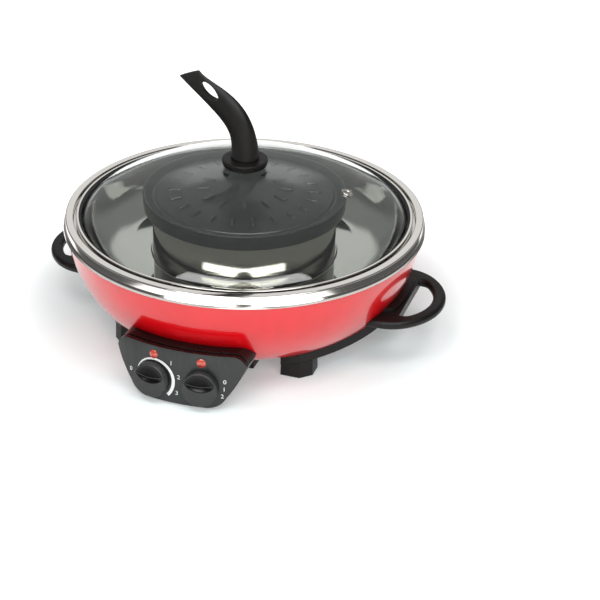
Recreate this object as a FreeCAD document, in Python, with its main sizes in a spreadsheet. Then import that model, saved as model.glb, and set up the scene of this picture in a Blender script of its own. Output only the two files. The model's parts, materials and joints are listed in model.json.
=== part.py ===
import FreeCAD, Part
import math
import os
import re
import Sketcher
from FreeCAD import Placement, Rotation, Vector

# Round electric hot pot with a central grill plate under a lift-off glass lid.
# The origin is on the floor under the pot's axis: Z is up, the control panel
# faces -Y and the side handles point along X. All sizes are millimetres.

SIZES = {
    # Rim of the steel pot, from the flat ring down to the rolled lip.
    "rim_height": 128.0,
    "rim_inner_radius": 185.0,
    "rim_band_radius": 192.5,
    "rim_shoulder": 4.5,
    "rim_edge_round": 1.0,
    "lip_reach": 2.5,
    "lip_height": 2.8,
    "lip_slope": 0.8,
    "lip_inset": 3.0,
    "lip_drop": 12.5,
    "pot_sheet": 1.0,
    # Ledge for the lid, sloping wall and flat floor of the ring-shaped trough.
    "ledge_drop": 6.8,
    "pot_floor_height": 83.0,
    "pot_floor_radius": 152.0,
    "pot_fillet": 10.0,
    "pot_wall_lean": 28.0,
    "pot_upstand": 3.5,
    # Red outer bowl: a side arc that turns into a corner arc and a flat bottom.
    "bowl_top_radius": 191.0,
    "bowl_bottom_height": 15.0,
    "bowl_side_curve": 124.0,
    "bowl_corner_curve": 84.0,
    "bowl_turn": 34.0,
    "bowl_wall": 1.2,
    "bowl_opening_radius": 80.0,
    # Steel column in the middle, which carries the grill plate.
    "column_radius": 98.7,
    "column_wall": 1.2,
    "column_height": 140.2,
    "column_seat_radius": 88.0,
    "column_foot_radius": 104.5,
    # Grill plate, a casting with a rim, a fat channel and a crowned middle.
    "plate_radius": 108.9,
    "plate_rise": 10.4,
    "plate_draft": 1.3,
    "plate_rim_width": 2.4,
    "plate_rim_round": 0.8,
    "plate_skirt_drop": 16.6,
    "plate_skirt_wall": 3.2,
    "plate_channel_radius": 98.5,
    "plate_channel_drop": 4.2,
    "plate_crown_radius": 94.5,
    "plate_crown_edge": 1.2,
    "plate_crown_rise": 6.5,
    "plate_wall": 6.0,
    "rib_width": 4.2,
    "rib_height": 1.1,
    "rib_outer_start": 68.0,
    "rib_outer_end": 82.0,
    "rib_outer_count": 22,
    "rib_outer_turn": 2.2,
    "rib_inner_start": 36.0,
    "rib_inner_end": 52.0,
    "rib_inner_count": 12,
    "rib_inner_turn": 19.7,
    # Lid: steel band, silicone seal, glass dome and vent eyelet.
    "lid_play": 2.7,
    "lid_band_sheet": 0.8,
    "lid_band_height": 7.5,
    "lid_band_foot": 9.3,
    "lid_band_lip": 2.5,
    "glass_edge_inset": 7.0,
    "glass_edge_rise": 4.4,
    "glass_dome_radius": 320.0,
    "glass_shoulder_radius": 42.0,
    "glass_edge_turn": 54.0,
    "glass_wall": 4.0,
    "eyelet_distance": 110.5,
    "eyelet_turn": 7.8,
    "eyelet_flange_radius": 6.4,
    "eyelet_tube_radius": 4.0,
    "eyelet_hole_radius": 2.9,
    "eyelet_flange": 1.1,
    # Lid handle: two-step collar, leaning grip with a hanging hole, and screw.
    "collar_radius": 24.4,
    "collar_height": 8.0,
    "collar_pad_radius": 19.0,
    "collar_pad_height": 1.6,
    "collar_groove": 0.8,
    "grip_width": 31.0,
    "grip_base_depth": 27.0,
    "grip_tip_depth": 11.0,
    "grip_straight": 8.0,
    "grip_bend_radius": 62.0,
    "grip_lean": 47.0,
    "grip_reach": 52.8,
    "grip_end_slope": 22.0,
    "hang_hole_length": 26.0,
    "hang_hole_width": 11.0,
    "hang_hole_place": 26.0,
    "lid_screw_radius": 2.5,
    "lid_screw_length": 30.0,
    "lid_washer_radius": 11.0,
    "lid_washer": 1.5,
    # Side handles: a D-shaped loop on a cradle whose arms run to the feet.
    "handle_reach": 225.0,
    "handle_tip_curve": 69.5,
    "handle_shoulder_curve": 48.0,
    "handle_tip_angle": 48.0,
    "handle_bar": 13.5,
    "handle_thickness": 9.4,
    "handle_height": 50.0,
    "handle_round": 4.0,
    "finger_half_width": 40.0,
    "finger_round": 9.0,
    "cradle_wall": 8.0,
    "cradle_top": 63.0,
    "cradle_half_width": 38.0,
    "cradle_neck": 142.0,
    "cradle_root": 188.0,
    # Feet, under the ends of the handle arms.
    "foot_centre_across": 96.0,
    "foot_centre_along": 93.5,
    "foot_length": 32.0,
    "foot_width": 28.0,
    "foot_corner": 11.0,
    "foot_draft": 1.5,
    "foot_pad": 0.8,
    "foot_pad_inset": 3.0,
    "foot_screw_radius": 2.2,
    "foot_screw_head": 4.4,
    "foot_screw_seat": 7.0,
    "foot_screw_length": 24.0,
    # Base cover under the bowl, with the wiring tongue that meets the housing.
    "cover_radius": 92.0,
    "cover_height": 5.0,
    "cover_wall": 2.4,
    "tongue_half_width": 52.0,
    "tongue_reach": 113.0,
    "vent_count": 12,
    "vent_radius": 52.0,
    "vent_length": 22.0,
    "vent_width": 4.0,
    "cover_screw_count": 4,
    "cover_screw_circle": 85.5,
    "cover_screw_radius": 1.7,
    "cover_screw_head": 3.2,
    "gland_radius": 4.4,
    "gland_bore_radius": 3.5,
    "gland_length": 16.0,
    "gland_collar_radius": 4.8,
    "gland_collar": 2.0,
    # Control housing on the front, a loft whose face is a patch of a cone.
    "face_radius": 200.9,
    "face_low": 3.0,
    "face_tilt": 4.0,
    "face_wall": 2.5,
    "face_skirt": 7.0,
    "face_round": 2.6,
    "housing_front": 206.0,
    "housing_back": 113.5,
    "housing_wall": 2.4,
    "front_top": 62.5,
    "front_top_half": 55.0,
    "front_wide": 50.0,
    "front_wide_half": 69.8,
    "front_side": 15.5,
    "front_side_half": 52.0,
    "front_bottom": 2.5,
    "front_bottom_half": 32.0,
    "back_top": 59.0,
    "back_top_half": 55.0,
    "back_wide": 48.0,
    "back_wide_half": 69.0,
    "back_side": 16.5,
    "back_side_half": 51.0,
    "back_bottom": 5.0,
    "back_bottom_half": 32.0,
    "housing_top_round": 14.0,
    "housing_side_curve": 120.0,
    "housing_low_round": 22.0,
    # Knobs, shafts, switches and lamps, set square to the face.
    "knob_angle": 7.5,
    "knob_height": 26.0,
    "knob_radius": 18.5,
    "knob_depth": 8.0,
    "knob_gap": 0.6,
    "knob_edge": 1.0,
    "knob_bar_half": 2.8,
    "knob_bar_rise": 2.8,
    "knob_scoop": 4.6,
    "knob_scoop_half": 14.5,
    "knob_scoop_curve": 16.0,
    "shaft_radius": 3.0,
    "shaft_fit": 0.05,
    "shaft_hole_play": 0.7,
    "shaft_socket": 6.2,
    "shaft_depth": 10.0,
    "bushing_radius": 5.0,
    "bushing_length": 5.0,
    "thermostat_radius": 13.5,
    "thermostat_depth": 15.0,
    "switch_side": 25.0,
    "switch_depth": 18.0,
    "lamp_height": 52.4,
    "lamp_radius": 4.9,
    "lamp_dome": 1.4,
    "lamp_stem_radius": 3.9,
    "lamp_stem_depth": 7.0,
    "lamp_holder_radius": 5.2,
    "lamp_holder_depth": 16.0,
    # Heating parts inside the bowl and the column.
    "tube_radius": 3.3,
    "element_radius": 128.0,
    "spreader_inner": 106.0,
    "spreader_outer": 150.0,
    "spreader_wall": 3.0,
    "clamp_count": 3,
    "clamp_width": 14.0,
    "clamp_wall": 1.2,
    "clamp_foot": 9.0,
    "grill_element_radius": 66.0,
    "grill_element_inner": 38.0,
    "grill_element_height": 133.5,
    "reflector_height": 112.0,
    "reflector_wall": 0.8,
    "reflector_edge": 9.0,
    "post_radius": 3.0,
    "post_count": 3,
    "cutout_radius": 7.0,
    "cutout_height": 9.0,
    "cutout_margin": 1.5,
    "terminal_length": 44.0,
    "terminal_width": 16.0,
    "terminal_height": 13.0,
    # Gaps: between curved faces that fit, and between parts that are lifted off.
    "fit_gap": 0.3,
    "seat_gap": 0.3,
}

doc = FreeCAD.newDocument("HotPotGrill")
sheet = doc.addObject("Spreadsheet::Sheet", "Sizes")
for row, (name, size) in enumerate(SIZES.items(), start=1):
    sheet.set(f"A{row}", name)
    sheet.set(f"B{row}", str(size))
    sheet.setAlias(f"B{row}", name)
doc.recompute()

NAMES = re.compile(r"\b(" + "|".join(SIZES) + r")\b")


def bound(text):
    """Point every size named in a formula at its cell in the sheet."""
    return NAMES.sub(r"Sizes.\1", str(text))


def value(text):
    """Work out a formula of sizes as a number."""
    result = sheet.evalExpression(bound(text))
    return float(getattr(result, "Value", result))


def new_body(label):
    body = doc.addObject("PartDesign::Body", label)
    body.Label = label
    return body


def origin_part(body, role):
    return next(f for f in body.Origin.OriginFeatures if f.Role == role)


def new_sketch(body, plane, lift="0", shift="0", lean=None):
    """A sketch on one of the body's own planes, moved along its normal by lift."""
    sketch = body.newObject("Sketcher::SketchObject", "Sketch")
    sketch.AttachmentSupport = [(origin_part(body, plane), "")]
    sketch.MapMode = "FlatFace"
    if lean is not None:
        turn = Rotation(Vector(0, -1, 0), value(lean))
        sketch.AttachmentOffset = Placement(Vector(0, 0, 0), turn)
    sketch.setExpression("AttachmentOffset.Base.z", bound(lift))
    sketch.setExpression("AttachmentOffset.Base.x", bound(shift))
    if lean is not None:
        sketch.setExpression("AttachmentOffset.Rotation.Angle", bound(lean))
    return sketch


def bind_point(sketch, edge, end, x, y):
    """Hold one end of an edge at x, y measured from the sketch's origin."""
    for kind, axis, text in (("DistanceX", -2, x), ("DistanceY", -1, y)):
        if str(text) == "0":
            sketch.addConstraint(Sketcher.Constraint("PointOnObject", edge, end, axis))
        else:
            index = sketch.addConstraint(
                Sketcher.Constraint(kind, -1, 1, edge, end, value(text)))
            sketch.setExpression(f"Constraints[{index}]", bound(text))


def arc_between(start, finish, radius, bulge):
    """An arc under a half circle that leaves start and ends at finish."""
    chord = finish - start
    rise = math.sqrt(max(radius ** 2 - (chord.Length / 2) ** 2, 0))
    across = Vector(-chord.y, chord.x, 0).normalize()
    side = 1 if bulge == "right" else -1
    centre = (start + finish) * 0.5 + across * (rise * side)
    angles = [math.atan2(p.y - centre.y, p.x - centre.x) for p in (start, finish)]
    if bulge == "left":
        angles.reverse()
    circle = Part.Circle(centre, Vector(0, 0, 1), radius)
    return Part.ArcOfCircle(circle, angles[0], angles[1])


def draw(sketch, corners):
    """Close a loop through the corners, each x, y and, for a side that leaves
    it as an arc, the arc's radius and the hand it bulges to on the way round."""
    count = len(corners)
    points = [Vector(value(c[0]), value(c[1]), 0) for c in corners]
    ends = []
    for i, corner in enumerate(corners):
        start, finish = points[i], points[(i + 1) % count]
        if len(corner) == 2:
            edge = sketch.addGeometry(Part.LineSegment(start, finish), False)
            ends.append((edge, 1, 2))
            continue
        radius, bulge = corner[2], corner[3]
        arc = arc_between(start, finish, value(radius), bulge)
        edge = sketch.addGeometry(arc, False)
        ends.append((edge, 1, 2) if bulge == "right" else (edge, 2, 1))
        index = sketch.addConstraint(
            Sketcher.Constraint("Radius", edge, value(radius)))
        sketch.setExpression(f"Constraints[{index}]", bound(radius))
    for i, corner in enumerate(corners):
        edge, start, _ = ends[i]
        before, _, finish = ends[i - 1]
        sketch.addConstraint(Sketcher.Constraint("Coincident", before, finish, edge, start))
        bind_point(sketch, edge, start, corner[0], corner[1])
    return sketch


def draw_circle(sketch, x, y, radius):
    centre = Vector(value(x), value(y), 0)
    edge = sketch.addGeometry(Part.Circle(centre, Vector(0, 0, 1), value(radius)), False)
    index = sketch.addConstraint(Sketcher.Constraint("Radius", edge, value(radius)))
    sketch.setExpression(f"Constraints[{index}]", bound(radius))
    bind_point(sketch, edge, 3, x, y)
    return sketch


def rectangle(sketch, low_x, low_y, high_x, high_y):
    return draw(sketch, [(low_x, low_y), (high_x, low_y), (high_x, high_y), (low_x, high_y)])


def mirrored(half):
    """The corners of one side followed by the same corners across the Y axis,
    in reverse order, so that arcs keep bulging outwards."""
    other = []
    for i in range(len(half) - 1, -1, -1):
        corner = (f"-({half[i][0]})", half[i][1])
        arc = half[i - 1][2:] if i else half[-1][2:]
        other.append(corner + tuple(arc))
    return half + other


def revolve(body, corners, lift="0"):
    """Turn a profile of radius and height pairs about the pot's axis."""
    sketch = draw(new_sketch(body, "XZ_Plane", lift), corners)
    turn = body.newObject("PartDesign::Revolution", "Revolution")
    turn.Profile = sketch
    turn.ReferenceAxis = (sketch, ["V_Axis"])
    turn.Angle = 360
    return turn


def pad(body, sketch, length, symmetric=False, backward=False, taper=None):
    feature = body.newObject("PartDesign::Pad", "Pad")
    feature.Profile = sketch
    feature.setExpression("Length", bound(length))
    if symmetric:
        feature.SideType = "Symmetric"
    feature.Reversed = backward
    if taper is not None:
        feature.setExpression("TaperAngle", bound(taper))
    return feature


def pocket(body, sketch, length=None, symmetric=False, backward=False):
    """Cut a sketch out of the body, and make sure that it took material away."""
    doc.recompute()
    before = body.Shape.Volume
    feature = body.newObject("PartDesign::Pocket", "Pocket")
    feature.Profile = sketch
    if length is None:
        feature.Type = "ThroughAll"
    else:
        feature.setExpression("Length", bound(length))
    if symmetric:
        feature.SideType = "Symmetric"
    feature.Reversed = backward
    doc.recompute()
    if body.Shape.Volume > before - 1e-3:
        raise RuntimeError(f"{body.Label}: {feature.Name} cuts nothing")
    return feature


def polar(body, feature, count):
    """Repeat a feature round the pot's axis."""
    doc.recompute()
    pattern = body.newObject("PartDesign::PolarPattern", "PolarPattern")
    pattern.Originals = [feature]
    pattern.Axis = (origin_part(body, "Z_Axis"), [""])
    pattern.Angle = 360
    pattern.setExpression("Occurrences", bound(count))
    body.Tip = pattern
    return pattern


def boolean(kind, label, base, tool):
    result = doc.addObject(f"Part::{kind}", label)
    result.Label = label
    result.Base = base
    result.Tool = tool
    return result


def cylinder(label, radius, low, high, centre=("0", "0")):
    """An upright cylinder between two heights."""
    shape = doc.addObject("Part::Cylinder", label)
    shape.Label = label
    shape.setExpression("Radius", bound(radius))
    shape.setExpression("Height", bound(f"({high}) - ({low})"))
    shape.setExpression("Placement.Base.x", bound(centre[0]))
    shape.setExpression("Placement.Base.y", bound(centre[1]))
    shape.setExpression("Placement.Base.z", bound(low))
    return shape


def compound(label, members):
    group = doc.addObject("Part::Compound", label)
    group.Label = label
    group.Links = members
    return group


def copy_at(source, placement):
    """A further copy of a repeated piece, at a place of its own."""
    link = doc.addObject("App::Link", source.Name + "_copy")
    link.LinkedObject = source
    link.LinkTransform = True
    link.Placement = placement
    return link


def at_corners(label, source):
    """One copy of a piece at each of the four feet."""
    across, along = value("foot_centre_across"), value("foot_centre_along")
    places = [Vector(sx * across, sy * along, 0) for sx in (1, -1) for sy in (-1, 1)]
    return compound(label, [copy_at(source, Placement(p, Rotation())) for p in places])


def mirror(label, source, normal):
    other = doc.addObject("Part::Mirroring", label)
    other.Label = label
    other.Source = source
    other.Base = Vector(0, 0, 0)
    other.Normal = normal
    return other


PARTS = {}


def keep(name, shape_object):
    """Hand one finished piece over under its own name."""
    shape_object.Label = name
    PARTS[name] = shape_object
    return shape_object


# Heights and radii that follow from the sizes above.
LIP_BOTTOM = "(rim_height - lip_drop)"
LEDGE = "(rim_height - ledge_drop)"
BOWL_TOP = "(rim_height - lip_drop - seat_gap)"
BOWL_TURN_HEIGHT = "(bowl_bottom_height + bowl_corner_curve * (1 - sin(bowl_turn)))"
BOWL_SIDE_HEIGHT = f"({BOWL_TURN_HEIGHT} + bowl_side_curve * sin(bowl_turn))"
BOWL_SIDE_CENTRE = (f"(bowl_top_radius - sqrt(bowl_side_curve ^ 2"
                    f" - ({BOWL_TOP} - {BOWL_SIDE_HEIGHT}) ^ 2))")
BOWL_TURN_RADIUS = f"({BOWL_SIDE_CENTRE} + bowl_side_curve * cos(bowl_turn))"
BOWL_FLAT_RADIUS = f"({BOWL_TURN_RADIUS} - bowl_corner_curve * cos(bowl_turn))"
POT_TURN_RADIUS = "(pot_floor_radius + pot_fillet * cos(pot_wall_lean))"
POT_TURN_HEIGHT = "(pot_floor_height + pot_fillet * (1 - sin(pot_wall_lean)))"
PLATE_SEAT = "(column_height + seat_gap)"
PLATE_TOP = f"({PLATE_SEAT} + plate_rise)"
PLATE_SKIRT = f"({PLATE_TOP} - plate_skirt_drop)"
PLATE_CROWN = f"({PLATE_TOP} - plate_channel_drop + plate_crown_edge)"
CROWN_CURVE = "((plate_crown_radius ^ 2 + plate_crown_rise ^ 2) / (2 * plate_crown_rise))"
LID_SEAT = f"({LEDGE} + seat_gap)"
LID_RADIUS = "(rim_inner_radius - rim_edge_round - lid_play)"
GLASS_RADIUS = f"({LID_RADIUS} - glass_edge_inset)"
GLASS_TURN = (f"asin(({GLASS_RADIUS} - glass_shoulder_radius * sin(glass_edge_turn))"
              f" / (glass_dome_radius - glass_shoulder_radius))")
GLASS_EDGE = f"({LID_SEAT} + glass_edge_rise)"
SHOULDER_HEIGHT = f"({GLASS_EDGE} - glass_shoulder_radius * cos(glass_edge_turn))"
SHOULDER_RADIUS = f"({GLASS_RADIUS} - glass_shoulder_radius * sin(glass_edge_turn))"
DOME_CENTRE = (f"({SHOULDER_HEIGHT}"
               f" - (glass_dome_radius - glass_shoulder_radius) * cos({GLASS_TURN}))")
GLASS_TOP = f"({DOME_CENTRE} + glass_dome_radius)"
COLLAR_BOTTOM = f"({GLASS_TOP} + seat_gap)"
COLLAR_TOP = f"({COLLAR_BOTTOM} + collar_pad_height + collar_height)"


def bowl_corners(offset, top, bottom_radius):
    """The bowl's outline moved outwards by offset, from its top edge down the
    side arc and the corner arc to the flat bottom."""
    side = f"(bowl_side_curve + {offset})"
    corner = f"(bowl_corner_curve + {offset})"
    top_radius = f"({BOWL_SIDE_CENTRE} + sqrt({side} ^ 2 - ({top} - {BOWL_SIDE_HEIGHT}) ^ 2))"
    turn_radius = f"({BOWL_TURN_RADIUS} + {offset} * cos(bowl_turn))"
    turn_height = f"({BOWL_TURN_HEIGHT} - {offset} * sin(bowl_turn))"
    floor = f"(bowl_bottom_height - {offset})"
    return [
        (bottom_radius, floor),
        (BOWL_FLAT_RADIUS, floor, corner, "right"),
        (turn_radius, turn_height, side, "right"),
        (top_radius, top),
    ]


def bowl_solid(label, offset, top="rim_height"):
    """Everything inside the bowl's outline moved outwards by offset."""
    body = new_body(label)
    corners = bowl_corners(offset, BOWL_TOP, "0")
    revolve(body, corners + [(corners[-1][0], top), ("0", top)])
    return body


def build_pot():
    """Steel pot: rolled lip, polished band, flat ring, ledge, wall and trough."""
    pot = new_body("inner_pot")
    under = "pot_sheet"
    band = "rim_band_radius"
    ledge_inner = (f"({POT_TURN_RADIUS} + ({LEDGE} - {POT_TURN_HEIGHT})"
                   f" * tan(pot_wall_lean))")
    ledge_under = (f"({POT_TURN_RADIUS} + {under} * cos(pot_wall_lean)"
                   f" + ({LEDGE} - {under} - {POT_TURN_HEIGHT} + {under} * sin(pot_wall_lean))"
                   f" * tan(pot_wall_lean))")
    ring_wall = "(rim_inner_radius - rim_edge_round)"
    bore = "(column_radius + fit_gap / 2)"
    upstand = f"({bore} + pot_sheet)"
    revolve(pot, [
        (bore, f"pot_floor_height - {under}"),
        ("pot_floor_radius", f"pot_floor_height - {under}", f"pot_fillet + {under}", "right"),
        (f"{POT_TURN_RADIUS} + {under} * cos(pot_wall_lean)",
         f"{POT_TURN_HEIGHT} - {under} * sin(pot_wall_lean)"),
        (ledge_under, f"{LEDGE} - {under}"),
        (f"{ring_wall} + {under}", f"{LEDGE} - {under}"),
        (f"{ring_wall} + {under}", f"rim_height - {under}"),
        (f"{band} - rim_shoulder", f"rim_height - {under}",
         f"rim_shoulder - {under}", "left"),
        (f"{band} - {under}", "rim_height - rim_shoulder"),
        (f"{band} - {under}", f"{LIP_BOTTOM} + lip_height"),
        (f"{band} - lip_inset", f"{LIP_BOTTOM} + lip_height"),
        (f"{band} - lip_inset", LIP_BOTTOM),
        (f"{band} + lip_reach", LIP_BOTTOM),
        (f"{band} + lip_reach", f"{LIP_BOTTOM} + lip_height - lip_slope"),
        (band, f"{LIP_BOTTOM} + lip_height"),
        (band, "rim_height - rim_shoulder", "rim_shoulder", "right"),
        (f"{band} - rim_shoulder", "rim_height"),
        ("rim_inner_radius", "rim_height", "rim_edge_round", "right"),
        (ring_wall, "rim_height - rim_edge_round"),
        (ring_wall, LEDGE),
        (ledge_inner, LEDGE),
        (POT_TURN_RADIUS, POT_TURN_HEIGHT, "pot_fillet", "left"),
        ("pot_floor_radius", "pot_floor_height"),
        (f"{upstand} + pot_sheet", "pot_floor_height"),
        (upstand, "pot_floor_height + pot_sheet"),
        (upstand, "pot_floor_height + pot_upstand"),
        (bore, "pot_floor_height + pot_upstand"),
    ])
    keep("inner_pot", pot)


def build_bowl():
    """Red bowl, pressed from sheet, open at the bottom for the base cover."""
    bowl = new_body("bowl_blank")
    outer = bowl_corners("0", BOWL_TOP, "bowl_opening_radius")
    inner = bowl_corners("(-bowl_wall)", BOWL_TOP, "bowl_opening_radius")
    inner_path = [
        inner[3] + inner[2][2:3] + ("left",),
        inner[2][:2] + inner[1][2:3] + ("left",),
        inner[1][:2],
        inner[0],
    ]
    revolve(bowl, outer + inner_path)
    hole = cylinder("bowl_screw_hole", "foot_screw_radius + fit_gap", "0", "rim_height / 2")
    holes = at_corners("bowl_screw_holes", hole)
    keep("outer_bowl", boolean("Cut", "outer_bowl", bowl, holes))


def build_column():
    """Steel column with a turned-in seat above and a flange under the trough."""
    column = new_body("grill_column")
    inner = "(column_radius - column_wall)"
    flange_top = "(pot_floor_height - pot_sheet)"
    flange_low = f"({flange_top} - column_wall)"
    revolve(column, [
        (inner, flange_low),
        ("column_foot_radius", flange_low),
        ("column_foot_radius", flange_top),
        ("column_radius", flange_top),
        ("column_radius", "column_height - 2 * column_wall", "2 * column_wall", "right"),
        ("column_radius - 2 * column_wall", "column_height"),
        ("column_seat_radius", "column_height"),
        ("column_seat_radius", "column_height - column_wall"),
        (f"{inner} - column_wall", "column_height - column_wall", "column_wall", "left"),
        (inner, "column_height - 2 * column_wall"),
    ])
    keep("grill_column", column)


def crown_height(radius):
    """Height of the plate's crowned face at a radius."""
    centre = f"({PLATE_CROWN} + plate_crown_rise - {CROWN_CURVE})"
    return f"({centre} + sqrt({CROWN_CURVE} ^ 2 - ({radius}) ^ 2))"


def build_plate():
    """Grill plate with a skirt over the column and two rings of raised ribs."""
    plate = new_body("plate_blank")
    skirt_inner = "(plate_radius - plate_draft - plate_skirt_wall)"
    rim_inner = "(plate_radius - plate_rim_width)"
    channel = f"({PLATE_TOP} - plate_channel_drop)"
    revolve(plate, [
        ("0", f"{PLATE_CROWN} + plate_crown_rise - plate_wall",
         f"{CROWN_CURVE}", "left"),
        ("column_seat_radius - fit_gap",
         f"{crown_height('column_seat_radius - fit_gap')} - plate_wall"),
        ("column_seat_radius - fit_gap", PLATE_SEAT),
        (skirt_inner, PLATE_SEAT),
        (skirt_inner, PLATE_SKIRT),
        ("plate_radius - plate_draft", PLATE_SKIRT),
        ("plate_radius", f"{PLATE_TOP} - plate_rim_round", "plate_rim_round", "right"),
        ("plate_radius - plate_rim_round", PLATE_TOP),
        (rim_inner, PLATE_TOP),
        ("plate_channel_radius", channel),
        ("plate_crown_radius + plate_crown_edge", channel),
        ("plate_crown_radius", PLATE_CROWN, CROWN_CURVE, "right"),
        ("0", f"{PLATE_CROWN} + plate_crown_rise"),
    ])
    casting = plate
    for ring in ("outer", "inner"):
        start, end = f"rib_{ring}_start", f"rib_{ring}_end"
        ribs = new_body(f"ribs_{ring}")
        rib = draw(new_sketch(ribs, "XZ_Plane"), [
            (start, f"{crown_height(start)} - rib_height"),
            (end, f"{crown_height(end)} - rib_height"),
            (end, crown_height(end)),
            (f"{end} - rib_height", f"{crown_height(end)} + rib_height"),
            (f"{start} + rib_height", f"{crown_height(start)} + rib_height"),
            (start, crown_height(start)),
        ])
        polar(ribs, pad(ribs, rib, "rib_width", symmetric=True), f"rib_{ring}_count")
        ribs.Placement.Rotation = Rotation(Vector(0, 0, 1), value(f"rib_{ring}_turn"))
        casting = boolean("Fuse", f"plate_with_{ring}_ribs", casting, ribs)
    keep("grill_plate", casting)


def build_lid():
    """Glass dome held in a seal and a steel band, with a vent eyelet."""
    band = new_body("lid_band")
    sheet_in = f"({LID_RADIUS} - lid_band_sheet)"
    top = f"({LID_SEAT} + lid_band_height)"
    revolve(band, [
        (f"{LID_RADIUS} - lid_band_foot", LID_SEAT),
        (LID_RADIUS, LID_SEAT),
        (LID_RADIUS, f"{top} - lid_band_sheet", "lid_band_sheet", "right"),
        (sheet_in, top),
        (f"{LID_RADIUS} - lid_band_lip", top),
        (f"{LID_RADIUS} - lid_band_lip", f"{top} - lid_band_sheet"),
        (sheet_in, f"{top} - lid_band_sheet"),
        (sheet_in, f"{LID_SEAT} + lid_band_sheet"),
        (f"{LID_RADIUS} - lid_band_foot", f"{LID_SEAT} + lid_band_sheet"),
    ])
    keep("lid_band", band)

    inner_edge = f"({GLASS_RADIUS} - glass_wall * sin(glass_edge_turn))"
    inner_height = f"({GLASS_EDGE} - glass_wall * cos(glass_edge_turn))"
    seal_low = f"({LID_SEAT} + lid_band_sheet)"
    seal_top = f"({top} - lid_band_sheet)"
    seal = new_body("lid_seal")
    revolve(seal, [
        (f"{LID_RADIUS} - lid_band_foot", seal_low),
        (sheet_in, seal_low),
        (sheet_in, seal_top),
        (f"{GLASS_RADIUS} - ({seal_top} - {GLASS_EDGE}) / tan(glass_edge_turn) + fit_gap",
         seal_top),
        (f"{GLASS_RADIUS} + fit_gap / 2", GLASS_EDGE),
        (inner_edge, f"{inner_height} - fit_gap / 2"),
        (f"{inner_edge} - lid_band_sheet", f"{inner_height} - lid_band_sheet"),
    ])
    keep("lid_seal", seal)

    dome = new_body("glass_blank")
    screw_hole = "(lid_screw_radius + fit_gap)"
    inner_dome = "(glass_dome_radius - glass_wall)"
    turn_outer = (f"glass_dome_radius * sin({GLASS_TURN})",
                  f"{DOME_CENTRE} + glass_dome_radius * cos({GLASS_TURN})")
    turn_inner = (f"{inner_dome} * sin({GLASS_TURN})",
                  f"{DOME_CENTRE} + {inner_dome} * cos({GLASS_TURN})")
    revolve(dome, [
        (inner_edge, inner_height),
        (GLASS_RADIUS, GLASS_EDGE, "glass_shoulder_radius", "right"),
        turn_outer + ("glass_dome_radius", "right"),
        (screw_hole,
         f"{DOME_CENTRE} + sqrt(glass_dome_radius ^ 2 - {screw_hole} ^ 2)"),
        (screw_hole, f"{DOME_CENTRE} + sqrt({inner_dome} ^ 2 - {screw_hole} ^ 2)",
         inner_dome, "left"),
        turn_inner + ("glass_shoulder_radius - glass_wall", "left"),
    ])
    lean = f"asin(eyelet_distance / glass_dome_radius)"
    turned = Rotation(Vector(0, 0, 1), value("eyelet_turn"))
    square = turned * Rotation(Vector(0, 1, 0), value(lean))
    foot = turned.multVec(Vector(value("eyelet_distance"), 0,
                                 value(f"{DOME_CENTRE} + glass_dome_radius * cos({lean})")))
    drill = cylinder("vent_drill", "eyelet_tube_radius + fit_gap / 2",
                     "-2 * glass_wall", "glass_wall")
    drill.setExpression("Placement.Base.x", None)
    drill.setExpression("Placement.Base.y", None)
    drill.setExpression("Placement.Base.z", None)
    deep = square.multVec(Vector(0, 0, value("2 * glass_wall")))
    drill.Placement = Placement(foot - deep, square)
    keep("lid_glass", boolean("Cut", "lid_glass", dome, drill))

    eyelet = new_body("vent_eyelet")
    rest = "(fit_gap / 2)"
    low = f"(-glass_wall - {rest})"
    revolve(eyelet, [
        ("eyelet_hole_radius", f"{low} - eyelet_flange"),
        ("eyelet_flange_radius - eyelet_flange", f"{low} - eyelet_flange"),
        ("eyelet_flange_radius - eyelet_flange", low),
        ("eyelet_tube_radius", low),
        ("eyelet_tube_radius", rest),
        ("eyelet_flange_radius", rest, "eyelet_flange", "right"),
        ("eyelet_flange_radius - eyelet_flange", f"{rest} + eyelet_flange"),
        ("eyelet_hole_radius + eyelet_flange", f"{rest} + eyelet_flange",
         "eyelet_flange", "right"),
        ("eyelet_hole_radius", rest),
    ])
    eyelet.Placement = Placement(foot, square)
    keep("vent_eyelet", eyelet)


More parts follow.
